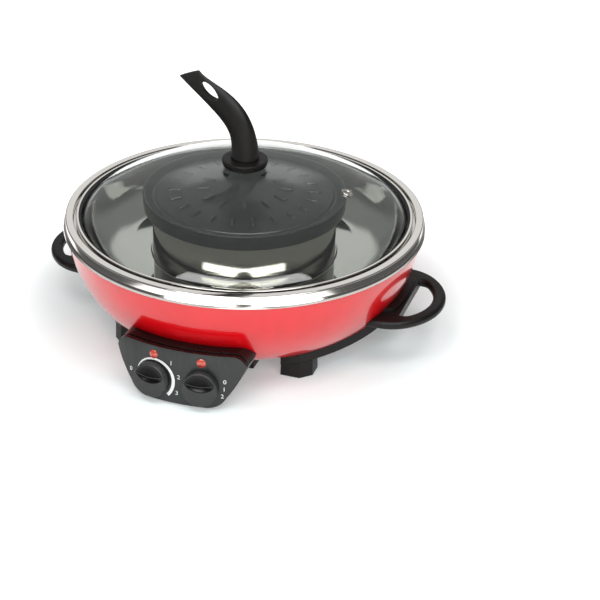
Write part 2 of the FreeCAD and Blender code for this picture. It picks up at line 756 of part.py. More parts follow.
def build_lid_handle():
    """Collar on the glass, and the grip that rises and leans over to the left."""
    collar = new_body("lid_handle_collar")
    disc_low = f"({COLLAR_BOTTOM} + collar_pad_height)"
    groove = f"({disc_low} + collar_height / 3)"
    hole = "(lid_screw_radius + fit_gap)"
    revolve(collar, [
        (hole, COLLAR_BOTTOM),
        ("collar_pad_radius", COLLAR_BOTTOM),
        ("collar_pad_radius", disc_low),
        ("collar_radius - 2 * collar_groove", disc_low),
        ("collar_radius - collar_groove", f"{disc_low} + collar_groove"),
        ("collar_radius - collar_groove", groove),
        ("collar_radius - 2 * collar_groove", f"{groove} + collar_groove / 2"),
        ("collar_radius", f"{groove} + collar_groove"),
        ("collar_radius", f"{COLLAR_TOP} - collar_groove", "collar_groove", "right"),
        ("collar_radius - collar_groove", COLLAR_TOP),
        (hole, COLLAR_TOP),
    ])
    keep("lid_handle_collar", collar)

    grip = new_body("lid_handle")
    bend_low = f"({COLLAR_TOP} + grip_straight)"
    bend_end = "(grip_bend_radius * (cos(grip_lean) - 1))"
    bend_top = f"({bend_low} + grip_bend_radius * sin(grip_lean))"
    past = "(grip_reach + grip_tip_depth)"
    stations = [
        ("0", COLLAR_TOP, "0", "1", "0"),
        ("0", bend_low, "0", "0.96", "0.2"),
        ("grip_bend_radius * (cos(grip_lean / 2) - 1)",
         f"{bend_low} + grip_bend_radius * sin(grip_lean / 2)", "grip_lean / 2", "0.9", "0.55"),
        ("grip_bend_radius * (cos(grip_lean) - 1)",
         f"{bend_low} + grip_bend_radius * sin(grip_lean)", "grip_lean", "0.92", "0.85"),
        (f"{bend_end} - {past} * sin(grip_lean)",
         f"{bend_top} + {past} * cos(grip_lean)", "grip_lean", "0.98", "1"),
    ]
    sections = []
    for x, z, lean, width, slim in stations:
        sketch = new_sketch(grip, "XY_Plane", z, x, lean)
        half_width = value(f"grip_width / 2 * {width}")
        depth = f"(grip_base_depth + (grip_tip_depth - grip_base_depth) * {slim}) / 2"
        half_depth = value(depth)
        wide = half_width >= half_depth
        ellipse = Part.Ellipse(Vector(0, 0, 0), max(half_width, half_depth),
                               min(half_width, half_depth))
        if not wide:
            ellipse.rotate(Placement(Vector(0, 0, 0), Rotation(Vector(0, 0, 1), 90)))
        edge = sketch.addGeometry(ellipse, False)
        sketch.exposeInternalGeometry(edge)
        sketch.addConstraint(Sketcher.Constraint("Coincident", edge, 3, -1, 1))
        sketch.addConstraint(Sketcher.Constraint("PointOnObject", edge + 1, 1, -1 if wide else -2))
        spans = (f"grip_width * {width}", f"2 * ({depth})")
        for axis, span in ((edge + 1, spans[0] if wide else spans[1]),
                           (edge + 2, spans[1] if wide else spans[0])):
            index = sketch.addConstraint(Sketcher.Constraint("Distance", axis, value(span)))
            sketch.setExpression(f"Constraints[{index}]", bound(span))
        sections.append(sketch)
    loft = grip.newObject("PartDesign::AdditiveLoft", "Loft")
    loft.Profile = sections[0]
    loft.Sections = sections[1:]
    loft.Ruled = False

    # A slanting cut across the grip's path ends it.
    end = (f"({bend_end} - grip_reach * sin(grip_lean))",
           f"({bend_top} + grip_reach * cos(grip_lean))")
    run = ("(2 * grip_width * cos(grip_end_slope))", "(2 * grip_width * sin(grip_end_slope))")
    cut = draw(new_sketch(grip, "XZ_Plane"), [
        (f"{end[0]} - {run[0]}", f"{end[1]} - {run[1]}"),
        (f"{end[0]} + {run[0]}", f"{end[1]} + {run[1]}"),
        (f"{end[0]} + {run[0]} - {run[1]}", f"{end[1]} + {run[1]} + {run[0]}"),
        (f"{end[0]} - {run[0]} - {run[1]}", f"{end[1]} - {run[1]} + {run[0]}"),
    ])
    pocket(grip, cut, symmetric=True)

    # The hanging hole is a long oval that follows the grip.
    middle = f"({bend_end} - hang_hole_place * sin(grip_lean))"
    height = f"({bend_top} + hang_hole_place * cos(grip_lean))"
    half = "((hang_hole_length - hang_hole_width / 2) / 2)"
    side = "(hang_hole_width / 2)"
    along = ("(-sin(grip_lean))", "cos(grip_lean)")
    oval = []
    for end, hand in ((1, 1), (1, -1), (-1, -1), (-1, 1)):
        x = f"{middle} + {end} * {half} * {along[0]} + {hand} * {side} * {along[1]} * 0.6"
        z = f"{height} + {end} * {half} * {along[1]} - {hand} * {side} * {along[0]} * 0.6"
        oval.append((x, z))
    bow = f"(({half} ^ 2 + ({side} * 0.4) ^ 2) / (2 * {side} * 0.4))"
    cap = f"{side} * 0.66"
    hole_sketch = draw(new_sketch(grip, "XZ_Plane"), [
        oval[0] + (cap, "right"), oval[1] + (bow, "right"),
        oval[2] + (cap, "right"), oval[3] + (bow, "right"),
    ])
    pocket(grip, hole_sketch, symmetric=True)

    # A blind hole in the foot takes the screw that comes up through the glass.
    screw_end = f"({GLASS_TOP} - glass_wall - lid_washer + lid_screw_length)"
    thread = draw_circle(new_sketch(grip, "XY_Plane", COLLAR_TOP), "0", "0",
                         "lid_screw_radius + shaft_fit")
    pocket(grip, thread, f"{screw_end} - {COLLAR_TOP} + fit_gap", backward=True)
    keep("lid_handle", grip)

    under = f"({GLASS_TOP} - glass_wall - seat_gap)"
    washer = new_body("lid_screw_washer")
    revolve(washer, [
        (hole, f"{under} - lid_washer"),
        ("lid_washer_radius", f"{under} - lid_washer"),
        ("lid_washer_radius", f"{under} - lid_washer / 2"),
        ("lid_washer_radius - lid_washer / 2", under),
        (hole, under),
    ])
    keep("lid_screw_washer", washer)

    screw = new_body("lid_handle_screw")
    head_top = f"({under} - lid_washer)"
    revolve(screw, [
        ("0", f"{head_top} - lid_screw_radius"),
        ("1.6 * lid_screw_radius", f"{head_top} - lid_screw_radius", "lid_screw_radius", "right"),
        ("2 * lid_screw_radius", head_top),
        ("lid_screw_radius", head_top),
        ("lid_screw_radius", f"{screw_end} - lid_screw_radius / 2"),
        ("lid_screw_radius / 2", screw_end),
        ("0", screw_end),
    ])
    keep("lid_handle_screw", screw)


def build_side_handles(bowl_room):
    """Moulded handles: loop, root plate and two arms that hug the bowl."""
    tip_centre = "(handle_reach - handle_tip_curve)"
    shoulder_x = f"({tip_centre} + handle_tip_curve * cos(handle_tip_angle))"
    shoulder_y = "(handle_tip_curve * sin(handle_tip_angle))"
    side_x = f"({shoulder_x} - handle_shoulder_curve * cos(handle_tip_angle))"
    side_y = f"({shoulder_y} + handle_shoulder_curve * (1 - sin(handle_tip_angle)))"
    root = "(cradle_neck + fit_gap)"
    loop = new_body("handle_loop")
    outline = draw(new_sketch(loop, "XY_Plane", "handle_height"), [
        (root, f"-{side_y}"),
        (side_x, f"-{side_y}", "handle_shoulder_curve", "right"),
        (shoulder_x, f"-{shoulder_y}", "handle_tip_curve", "right"),
        (shoulder_x, shoulder_y, "handle_shoulder_curve", "right"),
        (side_x, side_y),
        (root, side_y),
    ])
    pad(loop, outline, "handle_thickness")
    hole_curve = "(handle_tip_curve - handle_bar)"
    corner_y = "(finger_half_width - finger_round)"
    corner_x = f"sqrt(({hole_curve} - finger_round) ^ 2 - {corner_y} ^ 2)"
    share = f"{hole_curve} / ({hole_curve} - finger_round)"
    hole = draw(new_sketch(loop, "XY_Plane", "handle_height"), [
        ("cradle_root", "-finger_half_width"),
        (f"{tip_centre} + {corner_x}", "-finger_half_width", "finger_round", "right"),
        (f"{tip_centre} + {corner_x} * {share}", f"-{corner_y} * {share}", hole_curve, "right"),
        (f"{tip_centre} + {corner_x} * {share}", f"{corner_y} * {share}",
         "finger_round", "right"),
        (f"{tip_centre} + {corner_x}", "finger_half_width"),
        ("cradle_root", "finger_half_width"),
    ])
    block = pocket(loop, hole, backward=True)
    edges = level_edges(block, "cradle_root + fit_gap")
    fillet = loop.newObject("PartDesign::Fillet", "Fillet")
    fillet.Base = (block, edges)
    fillet.setExpression("Radius", bound("handle_round"))

    shell = new_body("cradle_shell")
    inner = bowl_corners("fit_gap", "cradle_top", "cover_radius + fit_gap")
    outer = bowl_corners("(cradle_wall + fit_gap)", "cradle_top", "cover_radius + fit_gap")
    outer_path = [
        outer[3] + outer[2][2:3] + ("left",),
        outer[2][:2] + outer[1][2:3] + ("left",),
        outer[1][:2],
        outer[0],
    ]
    revolve(shell, inner[:1] + inner[1:] + outer_path)
    foot_in = "(foot_centre_across - foot_length / 2)"
    foot_out = "(foot_centre_across + foot_length / 2)"
    foot_near = "(foot_centre_along - foot_width / 2)"
    foot_far = "(foot_centre_along + foot_width / 2)"
    plan = new_body("cradle_plan")
    half = [
        ("cradle_neck", "0"),
        (f"{foot_out}", f"{foot_near} - foot_width"),
        (foot_in, foot_near),
        (foot_in, foot_far),
        (f"{foot_out} - foot_corner", foot_far),
        (foot_out, f"{foot_far} - foot_corner"),
        ("cradle_neck - foot_corner", "2 * cradle_half_width"),
        ("cradle_root - foot_length", "cradle_half_width + foot_corner"),
        ("cradle_root - foot_corner", "cradle_half_width"),
        ("handle_reach", "cradle_half_width"),
    ]
    other = [(x, f"-({y})") for x, y in reversed(half[1:])]
    outline = draw(new_sketch(plan, "XY_Plane"), half + other)
    pad(plan, outline, "rim_height")
    cradle = boolean("Common", "cradle", shell, plan)
    loop_cut = boolean("Cut", "handle_loop_cut", loop, bowl_room)
    joined = boolean("Fuse", "handle_joined", cradle, loop_cut)
    joined.Refine = True
    drill = cylinder("arm_screw_hole", "foot_screw_radius + fit_gap", "0", "rim_height / 2")
    handle = boolean("Cut", "side_handle_right", joined, at_corners("arm_holes", drill))
    keep("side_handle_right", handle)
    keep("side_handle_left", mirror("side_handle_left", handle, Vector(1, 0, 0)))


def level_edges(feature, beyond):
    """Names of a feature's level edges that reach past a distance along X."""
    limit = value(beyond)
    return [f"Edge{i}" for i, edge in enumerate(feature.Shape.Edges, start=1)
            if edge.BoundBox.ZLength < 1e-6 and edge.BoundBox.XMax > limit]


def build_feet(arm_room):
    """Four tapered foot blocks with soft pads and the screws that hold them."""
    half_length, half_width = "(foot_length / 2)", "(foot_width / 2)"
    centre = ("foot_centre_across", "foot_centre_along")
    block = new_body("foot_block")
    outline = draw(new_sketch(block, "XY_Plane", "foot_pad"), [
        (f"{centre[0]} - {half_length}", f"-({centre[1]} + {half_width})"),
        (f"{centre[0]} + {half_length} - foot_corner", f"-({centre[1]} + {half_width})"),
        (f"{centre[0]} + {half_length}", f"-({centre[1]} + {half_width} - foot_corner)"),
        (f"{centre[0]} + {half_length}", f"-({centre[1]} - {half_width})"),
        (f"{centre[0]} - {half_length}", f"-({centre[1]} - {half_width})"),
    ])
    pad(block, outline, "bowl_corner_curve / 3", taper="-foot_draft")
    seat = draw_circle(new_sketch(block, "XY_Plane", "foot_pad"), centre[0],
                       f"-{centre[1]}", "foot_screw_head + fit_gap")
    pocket(block, seat, "foot_screw_seat - foot_pad", backward=True)
    bore = draw_circle(new_sketch(block, "XY_Plane", "foot_screw_seat"), centre[0],
                       f"-{centre[1]}", "foot_screw_radius + fit_gap")
    pocket(block, bore, backward=True)
    front_right = boolean("Cut", "foot_front_right", block, arm_room)
    keep("foot_front_right", front_right)
    front_left = mirror("foot_front_left", front_right, Vector(1, 0, 0))
    keep("foot_front_left", front_left)
    keep("foot_rear_right", mirror("foot_rear_right", front_right, Vector(0, 1, 0)))
    keep("foot_rear_left", mirror("foot_rear_left", front_left, Vector(0, 1, 0)))

    sole = new_body("foot_pad_blank")
    inset = "foot_pad_inset"
    outline = new_sketch(sole, "XY_Plane")
    draw(outline, [
        (f"{centre[0]} - {half_length} + {inset}", f"-({centre[1]} + {half_width} - {inset})"),
        (f"{centre[0]} + {half_length} - foot_corner",
         f"-({centre[1]} + {half_width} - {inset})"),
        (f"{centre[0]} + {half_length} - {inset}",
         f"-({centre[1]} + {half_width} - foot_corner)"),
        (f"{centre[0]} + {half_length} - {inset}", f"-({centre[1]} - {half_width} + {inset})"),
        (f"{centre[0]} - {half_length} + {inset}", f"-({centre[1]} - {half_width} + {inset})"),
    ])
    draw_circle(outline, centre[0], f"-{centre[1]}", "foot_screw_head + fit_gap")
    pad(sole, outline, "foot_pad")
    across = mirror("foot_pad_left", sole, Vector(1, 0, 0))
    rear = [mirror("foot_pad_rear", one, Vector(0, 1, 0)) for one in (sole, across)]
    keep("foot_pads", compound("foot_pads", [sole, across] + rear))

    screw = new_body("foot_screw")
    low = "(foot_screw_seat - foot_screw_radius - fit_gap)"
    seat_height = "(foot_screw_seat - fit_gap)"
    revolve(screw, [
        ("0", low),
        ("0.75 * foot_screw_head", low),
        ("foot_screw_head", f"{low} + foot_screw_head / 4"),
        ("foot_screw_head", seat_height),
        ("foot_screw_radius", seat_height),
        ("foot_screw_radius", f"{seat_height} + foot_screw_length"),
        ("0", f"{seat_height} + foot_screw_length"),
    ])
    keep("foot_screws", at_corners("foot_screws", screw))


def build_cover():
    """Base cover: a vented dish under the bowl with a tongue to the housing."""
    cover = new_body("base_cover")
    top = "(bowl_bottom_height - cover_height)"
    pad(cover, draw_circle(new_sketch(cover, "XY_Plane", "cover_height"), "0", "0",
                           "cover_radius"), top)
    pad(cover, rectangle(new_sketch(cover, "XY_Plane", "cover_height"),
                         "-tongue_half_width", "-tongue_reach",
                         "tongue_half_width", "0"), top)
    room = "(bowl_opening_radius - fit_gap)"
    floor = "(cover_height + cover_wall)"
    pocket(cover, draw_circle(new_sketch(cover, "XY_Plane", floor), "0", "0", room),
           backward=True)
    pocket(cover, rectangle(new_sketch(cover, "XY_Plane", floor),
                            "-tongue_half_width + cover_wall", "-tongue_reach + cover_wall",
                            "tongue_half_width - cover_wall", "0"), backward=True)
    slot = draw(new_sketch(cover, "XY_Plane", "cover_height"), [
        ("vent_radius - vent_length / 2", "-vent_width / 2"),
        ("vent_radius + vent_length / 2", "-vent_width / 2", "0.503 * vent_width", "right"),
        ("vent_radius + vent_length / 2", "vent_width / 2"),
        ("vent_radius - vent_length / 2", "vent_width / 2", "0.503 * vent_width", "right"),
    ])
    polar(cover, pocket(cover, slot, "cover_wall", backward=True), "vent_count")
    hole = draw_circle(new_sketch(cover, "XY_Plane", "cover_height"),
                       "cover_screw_circle * cos(45)", "cover_screw_circle * sin(45)",
                       "cover_screw_radius + fit_gap")
    polar(cover, pocket(cover, hole, backward=True), "cover_screw_count")
    outlet = draw_circle(new_sketch(cover, "XZ_Plane"), "0",
                         "(cover_height + bowl_bottom_height) / 2", "gland_radius + fit_gap / 2")
    pocket(cover, outlet, "cover_radius * 2", backward=False)
    keep("base_cover", cover)

    screw = new_body("cover_screw")
    axis = "cover_screw_circle"
    sketch = draw(new_sketch(screw, "XZ_Plane"), [
        (axis, "cover_height - cover_screw_radius"),
        (f"{axis} + 0.75 * cover_screw_head", "cover_height - cover_screw_radius"),
        (f"{axis} + cover_screw_head", "cover_height - cover_screw_radius + cover_screw_head / 4"),
        (f"{axis} + cover_screw_head", "cover_height"),
        (f"{axis} + cover_screw_radius", "cover_height"),
        (f"{axis} + cover_screw_radius", "bowl_bottom_height"),
        (axis, "bowl_bottom_height"),
    ])
    turn = screw.newObject("PartDesign::Revolution", "Revolution")
    turn.Profile = sketch
    turn.ReferenceAxis = (sketch, ["Edge7"])
    turn.Angle = 360
    doc.recompute()
    polar(screw, turn, "cover_screw_count")
    screw.Placement = Placement(Vector(0, 0, 0), Rotation(Vector(0, 0, 1), 45))
    keep("cover_screws", screw)

    gland = new_body("cord_gland")
    wall_out = "(gland_length / 2)"
    revolve(gland, [
        ("gland_bore_radius", f"-{wall_out}"),
        ("gland_radius", f"-{wall_out}"),
        ("gland_radius", f"{wall_out} - gland_collar"),
        ("gland_collar_radius", f"{wall_out} - gland_collar"),
        ("gland_collar_radius", wall_out),
        ("gland_bore_radius", wall_out),
    ])
    gland.Placement = Placement(
        Vector(0, value("cover_radius - gland_length / 2 + gland_collar + seat_gap"),
               value("(cover_height + bowl_bottom_height) / 2")),
        Rotation(Vector(1, 0, 0), -90))
    keep("cord_gland", gland)


def housing_outline(body, plane_offset, place, inset):
    """The housing's outline at its front or back, drawn in by inset."""
    gap = f"({inset})"
    right = [
        (f"{place}_bottom_half", f"{place}_bottom + {gap}",
         f"housing_low_round - {gap}", "right"),
        (f"{place}_side_half - 0.8 * {gap}", f"{place}_side + 0.6 * {gap}",
         "housing_side_curve", "right"),
        (f"{place}_wide_half - {gap}", f"{place}_wide",
         f"housing_top_round - {gap}", "right"),
        (f"{place}_top_half - 0.2 * {gap}", f"{place}_top - {gap}"),
    ]
    return draw(new_sketch(body, "XZ_Plane", plane_offset), mirrored(right))


def housing_loft(label, inset, front="housing_front", back="housing_back"):
    body = new_body(label)
    loft_front = housing_outline(body, front, "front", inset)
    loft_back = housing_outline(body, back, "back", inset)
    loft = body.newObject("PartDesign::AdditiveLoft", "Loft")
    loft.Profile = loft_front
    loft.Sections = [loft_back]
    return body


def face_cone(label, depth):
    """Solid cone whose side is the control face moved inwards by depth."""
    cone = doc.addObject("Part::Cone", label)
    foot = f"(face_radius + face_low * tan(face_tilt) - ({depth}) / cos(face_tilt))"
    cone.setExpression("Radius1", bound(foot))
    cone.setExpression("Height", bound("rim_height"))
    cone.setExpression("Radius2", bound(f"{foot} - rim_height * tan(face_tilt)"))
    return cone


def on_face(side, height, lift="0"):
    """Place on the control face: X across it, Y up it and Z out of it."""
    angle = value(f"{side} * knob_angle")
    tilt = value("face_tilt")
    turn = Rotation(Vector(0, 0, 1), angle) * Rotation(Vector(1, 0, 0), 90 - tilt)
    radius = value(f"face_radius - ({height} - face_low) * tan(face_tilt)")
    point = Vector(radius * math.sin(math.radians(angle)),
                   -radius * math.cos(math.radians(angle)), value(height))
    return Placement(point + turn.multVec(Vector(0, 0, value(lift))), turn)


def face_drill(label, side, height, radius):
    drill = cylinder(label, radius, "-2 * face_wall", "2 * face_wall")
    for axis in "xyz":
        drill.setExpression(f"Placement.Base.{axis}", None)
    drill.Placement = on_face(side, height, "-2 * face_wall")
    return drill


def rounded_front(label, blank, radius):
    """The blank with the edges round its conical front face rounded over."""
    doc.recompute()
    front = next(f for f in blank.Shape.Faces if isinstance(f.Surface, Part.Cone))
    edges = [i for i, edge in enumerate(blank.Shape.Edges, start=1)
             if any(edge.isSame(other) for other in front.Edges)]
    fillet = doc.addObject("Part::Fillet", label)
    fillet.Base = blank
    fillet.Edges = [(i, value(radius), value(radius)) for i in edges]
    doc.recompute()
    return fillet


def build_housing(bowl_room):
    """Control housing: a hollow moulding and the cap with the curved front face."""
    outer = boolean("Common", "housing_outer", housing_loft("housing_loft", "0"),
                    face_cone("face_cone", "0"))
    room = housing_loft("housing_room", "housing_wall", back="housing_back + housing_wall")

    behind = boolean("Common", "housing_behind", outer,
                     face_cone("skirt_cone", "face_skirt + fit_gap"))
    seated = boolean("Cut", "housing_seated", behind, bowl_room)
    thick = bowl_solid("bowl_room_thick", "(fit_gap + housing_wall)")
    hollow = boolean("Cut", "housing_hollow", room, thick)
    keep("control_housing", boolean("Cut", "control_housing", seated, hollow))

    slab = boolean("Cut", "cap_slab", outer, face_cone("cap_cone", "face_skirt"))
    blank = rounded_front("cap_blank", slab, "face_round")
    inside = boolean("Common", "cap_inside", room, face_cone("face_back", "face_wall"))
    drills = []
    for side, hand in ((-1, "left"), (1, "right")):
        drills.append(face_drill(f"shaft_drill_{hand}", side, "knob_height",
                                 "shaft_radius + shaft_hole_play"))
        drills.append(face_drill(f"lamp_drill_{hand}", side, "lamp_height",
                                 "lamp_stem_radius + fit_gap / 2"))
    shell = boolean("Cut", "cap_shell", blank, inside)
    keep("control_face", boolean("Cut", "control_face", shell, compound("face_drills", drills)))


def build_knob(label, side):
    """Round knob with a raised grip bar between two scooped recesses."""
    knob = new_body(label)
    top = "(knob_gap + knob_depth)"
    revolve(knob, [
        ("0", "knob_gap"),
        ("knob_radius", "knob_gap"),
        ("knob_radius - knob_edge / 2", f"{top} - knob_edge"),
        ("knob_radius - 1.5 * knob_edge", top),
        ("0", top),
    ])
    half = "(sqrt((knob_radius - 1.5 * knob_edge) ^ 2 - knob_bar_half ^ 2))"
    bar = draw(new_sketch(knob, "XY_Plane", f"{top} - knob_edge"), [
        (f"-{half}", "-knob_bar_half"),
        (half, "-knob_bar_half", "knob_radius - 1.5 * knob_edge", "right"),
        (half, "knob_bar_half"),
        (f"-{half}", "knob_bar_half", "knob_radius - 1.5 * knob_edge", "right"),
    ])
    pad(knob, bar, "knob_bar_rise + knob_edge")
    for hand in (1, -1):
        edge = f"{hand} * (knob_bar_half)"
        first, last = ("knob_scoop_half", "-knob_scoop_half")
        if hand < 0:
            first, last = last, first
        scoop = draw(new_sketch(knob, "XY_Plane", top), [
            (first, edge, "knob_scoop_curve", "right"),
            (last, edge),
        ])
        pocket(knob, scoop, "knob_scoop")
    socket = draw_circle(new_sketch(knob, "XY_Plane", "knob_gap"), "0", "0",
                         "shaft_radius + shaft_fit")
    pocket(knob, socket, "shaft_socket - knob_gap - knob_edge", backward=True)
    knob.Placement = on_face(side, "knob_height")
    keep(label, knob)


def build_shaft(label, side):
    shaft = new_body(label)
    end = "(shaft_socket - knob_edge - fit_gap)"
    revolve(shaft, [
        ("0", "-shaft_depth"),
        ("shaft_radius", "-shaft_depth"),
        ("shaft_radius", f"{end} - fit_gap"),
        ("shaft_radius - fit_gap", end),
        ("0", end),
    ])
    shaft.Placement = on_face(side, "knob_height")
    keep(label, shaft)


def build_controls():
    """Thermostat and switch behind the face, with their shafts and knobs."""
    build_knob("hotpot_knob", -1)
    build_knob("grill_knob", 1)
    build_shaft("hotpot_knob_shaft", -1)
    build_shaft("grill_knob_shaft", 1)
    front = "(-face_wall - fit_gap)"
    bushing_low = f"({front} - bushing_length)"
    bore_end = "(-shaft_depth - fit_gap)"

    thermostat = new_body("thermostat")
    revolve(thermostat, [
        ("0", f"{bushing_low} - thermostat_depth"),
        ("thermostat_radius", f"{bushing_low} - thermostat_depth"),
        ("thermostat_radius", bushing_low),
        ("bushing_radius", bushing_low),
        ("bushing_radius", front),
        ("shaft_radius + shaft_fit", front),
        ("shaft_radius + shaft_fit", bore_end),
        ("0", bore_end),
    ])
    thermostat.Placement = on_face(-1, "knob_height")
    keep("thermostat", thermostat)

    switch = new_body("grill_switch")
    side = "switch_side / 2"
    pad(switch, rectangle(new_sketch(switch, "XY_Plane", bushing_low), f"-{side}",
                          f"-{side}", side, side), "switch_depth", backward=True)
    pad(switch, draw_circle(new_sketch(switch, "XY_Plane", bushing_low), "0", "0",
                            "bushing_radius"), "bushing_length")
    pocket(switch, draw_circle(new_sketch(switch, "XY_Plane", front), "0", "0",
                               "shaft_radius + shaft_fit"), f"{front} - {bore_end}")
    switch.Placement = on_face(1, "knob_height")
    keep("grill_switch", switch)

    for side, name in ((-1, "hotpot_lamp"), (1, "grill_lamp")):
        lens = new_body(f"{name}_lens")
        rest = "(fit_gap / 2)"
        revolve(lens, [
            ("0", "-lamp_stem_depth"),
            ("lamp_stem_radius", "-lamp_stem_depth"),
            ("lamp_stem_radius", rest),
            ("lamp_radius", rest, "(lamp_radius ^ 2 + lamp_dome ^ 2) / (2 * lamp_dome)", "right"),
            ("0", f"{rest} + lamp_dome"),
        ])
        lens.Placement = on_face(side, "lamp_height")
        keep(f"{name}_lens", lens)
        holder = new_body(f"{name}_holder")
        revolve(holder, [
            ("0", "-lamp_holder_depth"),
            ("lamp_holder_radius", "-lamp_holder_depth"),
            ("lamp_holder_radius", front),
            ("lamp_stem_radius + fit_gap / 2", front),
            ("lamp_stem_radius + fit_gap / 2", "-lamp_stem_depth - fit_gap"),
            ("0", "-lamp_stem_depth - fit_gap"),
        ])
        holder.Placement = on_face(side, "lamp_height")
        keep(f"{name}_holder", holder)


def build_heating():
    """Ring element under the trough, and the radiant element in the column."""
    spreader_top = "(pot_floor_height - pot_sheet)"
    spreader_low = f"({spreader_top} - spreader_wall)"
    spreader = new_body("heat_spreader")
    revolve(spreader, [
        ("spreader_inner", spreader_low),
        ("spreader_outer", spreader_low),
        ("spreader_outer", spreader_top),
        ("spreader_inner", spreader_top),
    ])
    keep("heat_spreader", spreader)

    element_height = f"({spreader_low} - fit_gap / 2 - tube_radius)"
    ring = doc.addObject("Part::Torus", "element_ring")
    ring.setExpression("Radius1", bound("element_radius"))
    ring.setExpression("Radius2", bound("tube_radius"))
    ring.setExpression("Placement.Base.z", bound(element_height))
    pins = [cylinder("element_pin", "tube_radius", f"{element_height} - 8 * tube_radius",
                     element_height, (f"{hand} * 3 * tube_radius",
                                      "-sqrt(element_radius ^ 2 - (3 * tube_radius) ^ 2)"))
            for hand in (-1, 1)]
    both = boolean("Fuse", "element_pins", pins[0], pins[1])
    keep("hotpot_element", boolean("Fuse", "hotpot_element", ring, both))

    clamp = new_body("element_clamps")
    under = f"({element_height} - tube_radius - fit_gap / 2)"
    wide = "(tube_radius + fit_gap)"
    profile = draw(new_sketch(clamp, "YZ_Plane", "0"), [
        (f"element_radius - {wide} - clamp_wall - clamp_foot", f"{spreader_low} - clamp_wall"),
        (f"element_radius - {wide} - clamp_wall", f"{spreader_low} - clamp_wall"),
        (f"element_radius - {wide} - clamp_wall", f"{under} - clamp_wall"),
        (f"element_radius + {wide} + clamp_wall", f"{under} - clamp_wall"),
        (f"element_radius + {wide} + clamp_wall", f"{spreader_low} - clamp_wall"),
        (f"element_radius + {wide} + clamp_wall + clamp_foot", f"{spreader_low} - clamp_wall"),
        (f"element_radius + {wide} + clamp_wall + clamp_foot", spreader_low),
        (f"element_radius + {wide}", spreader_low),
        (f"element_radius + {wide}", under),
        (f"element_radius - {wide}", under),
        (f"element_radius - {wide}", spreader_low),
        (f"element_radius - {wide} - clamp_wall - clamp_foot", spreader_low),
    ])
    polar(clamp, pad(clamp, profile, "clamp_width", symmetric=True), "clamp_count")
    keep("element_clamps", clamp)

    place = "(spreader_inner + cutout_margin + cutout_radius)"
    cutout = cylinder("thermal_cutout", "cutout_radius", f"{spreader_low} - cutout_height",
                      spreader_low, (f"{place} * cos(20)", f"{place} * sin(20)"))
    keep("thermal_cutout", cutout)

    reflector = new_body("grill_reflector")
    edge = "(column_radius - column_wall - fit_gap)"
    revolve(reflector, [
        ("0", "reflector_height"),
        (f"{edge} - reflector_edge", "reflector_height"),
        (edge, "reflector_height + reflector_edge"),
        (f"{edge} - reflector_wall", "reflector_height + reflector_edge"),
        (f"{edge} - reflector_edge - reflector_wall / 2",
         "reflector_height + reflector_wall"),
        ("0", "reflector_height + reflector_wall"),
    ])
    keep("grill_reflector", reflector)

    coils = []
    for radius in ("grill_element_radius", "grill_element_inner"):
        coil = doc.addObject("Part::Torus", "grill_coil")
        coil.setExpression("Radius1", bound(radius))
        coil.setExpression("Radius2", bound("tube_radius"))
        coil.setExpression("Placement.Base.z", bound("grill_element_height"))
        coils.append(coil)
    bridge = doc.addObject("Part::Cylinder", "coil_bridge")
    bridge.setExpression("Radius", bound("tube_radius * 0.9"))
    bridge.setExpression("Height", bound("grill_element_radius - grill_element_inner"))
    bridge.Placement.Rotation = Rotation(Vector(0, 1, 0), 90)
    bridge.setExpression("Placement.Base.x", bound("grill_element_inner"))
    bridge.setExpression("Placement.Base.z", bound("grill_element_height"))
    pair = boolean("Fuse", "coil_pair", coils[0], bridge)
    keep("grill_element", boolean("Fuse", "grill_element", pair, coils[1]))

    post = new_body("element_posts")
    sketch = draw_circle(new_sketch(post, "XY_Plane", "reflector_height + reflector_wall"),
                         "0", "grill_element_radius", "post_radius")
    length = ("grill_element_height - tube_radius - fit_gap"
              " - reflector_height - reflector_wall")
    polar(post, pad(post, sketch, length), "post_count")
    keep("element_posts", post)

    terminal = new_body("terminal_block")
    floor = "(cover_height + cover_wall)"
    pad(terminal, rectangle(new_sketch(terminal, "XY_Plane", floor),
                            "-terminal_length / 2", "cover_radius / 3",
                            "terminal_length / 2", "cover_radius / 3 + terminal_width"),
        "terminal_height")
    keep("terminal_block", terminal)


def check_objects():
    """Stop at any object that failed or any piece whose solid isn't sound."""
    for item in doc.Objects:
        if "Invalid" in item.State or "Error" in item.State:
            raise RuntimeError(f"{item.Label} failed: {item.State}")
    for name, item in PARTS.items():
        shape = item.Shape
        if shape.isNull() or not shape.isValid() or not shape.Solids:
            raise RuntimeError(f"{name} has no sound solid")


def main():
    bowl_room = bowl_solid("bowl_room", "fit_gap")
    arm_room = bowl_solid("arm_room", "(cradle_wall + 2 * fit_gap)")
    build_pot()
    build_bowl()
    build_column()
    build_plate()
    build_lid()
    build_lid_handle()
    build_side_handles(bowl_room)
    build_feet(arm_room)
    build_cover()
    build_housing(bowl_room)
    build_controls()
    build_heating()
    doc.recompute()
    check_objects()
    os.makedirs("parts", exist_ok=True)
    for name, item in PARTS.items():
        item.Shape.exportStep(os.path.join("parts", name + ".step"))
        print(name, len(item.Shape.Solids), round(item.Shape.Volume / 1000, 2), "cm3")


main()
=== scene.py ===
"""Round electric hot pot with a centre grill plate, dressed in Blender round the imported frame.

Sizes are written in millimetres and turned to metres when a mesh is made. The origin is on
the table under the pot's axis, with Z up and the control panel towards -Y.
"""
import json
import math
import bmesh
import bpy
from mathutils import Matrix, Vector

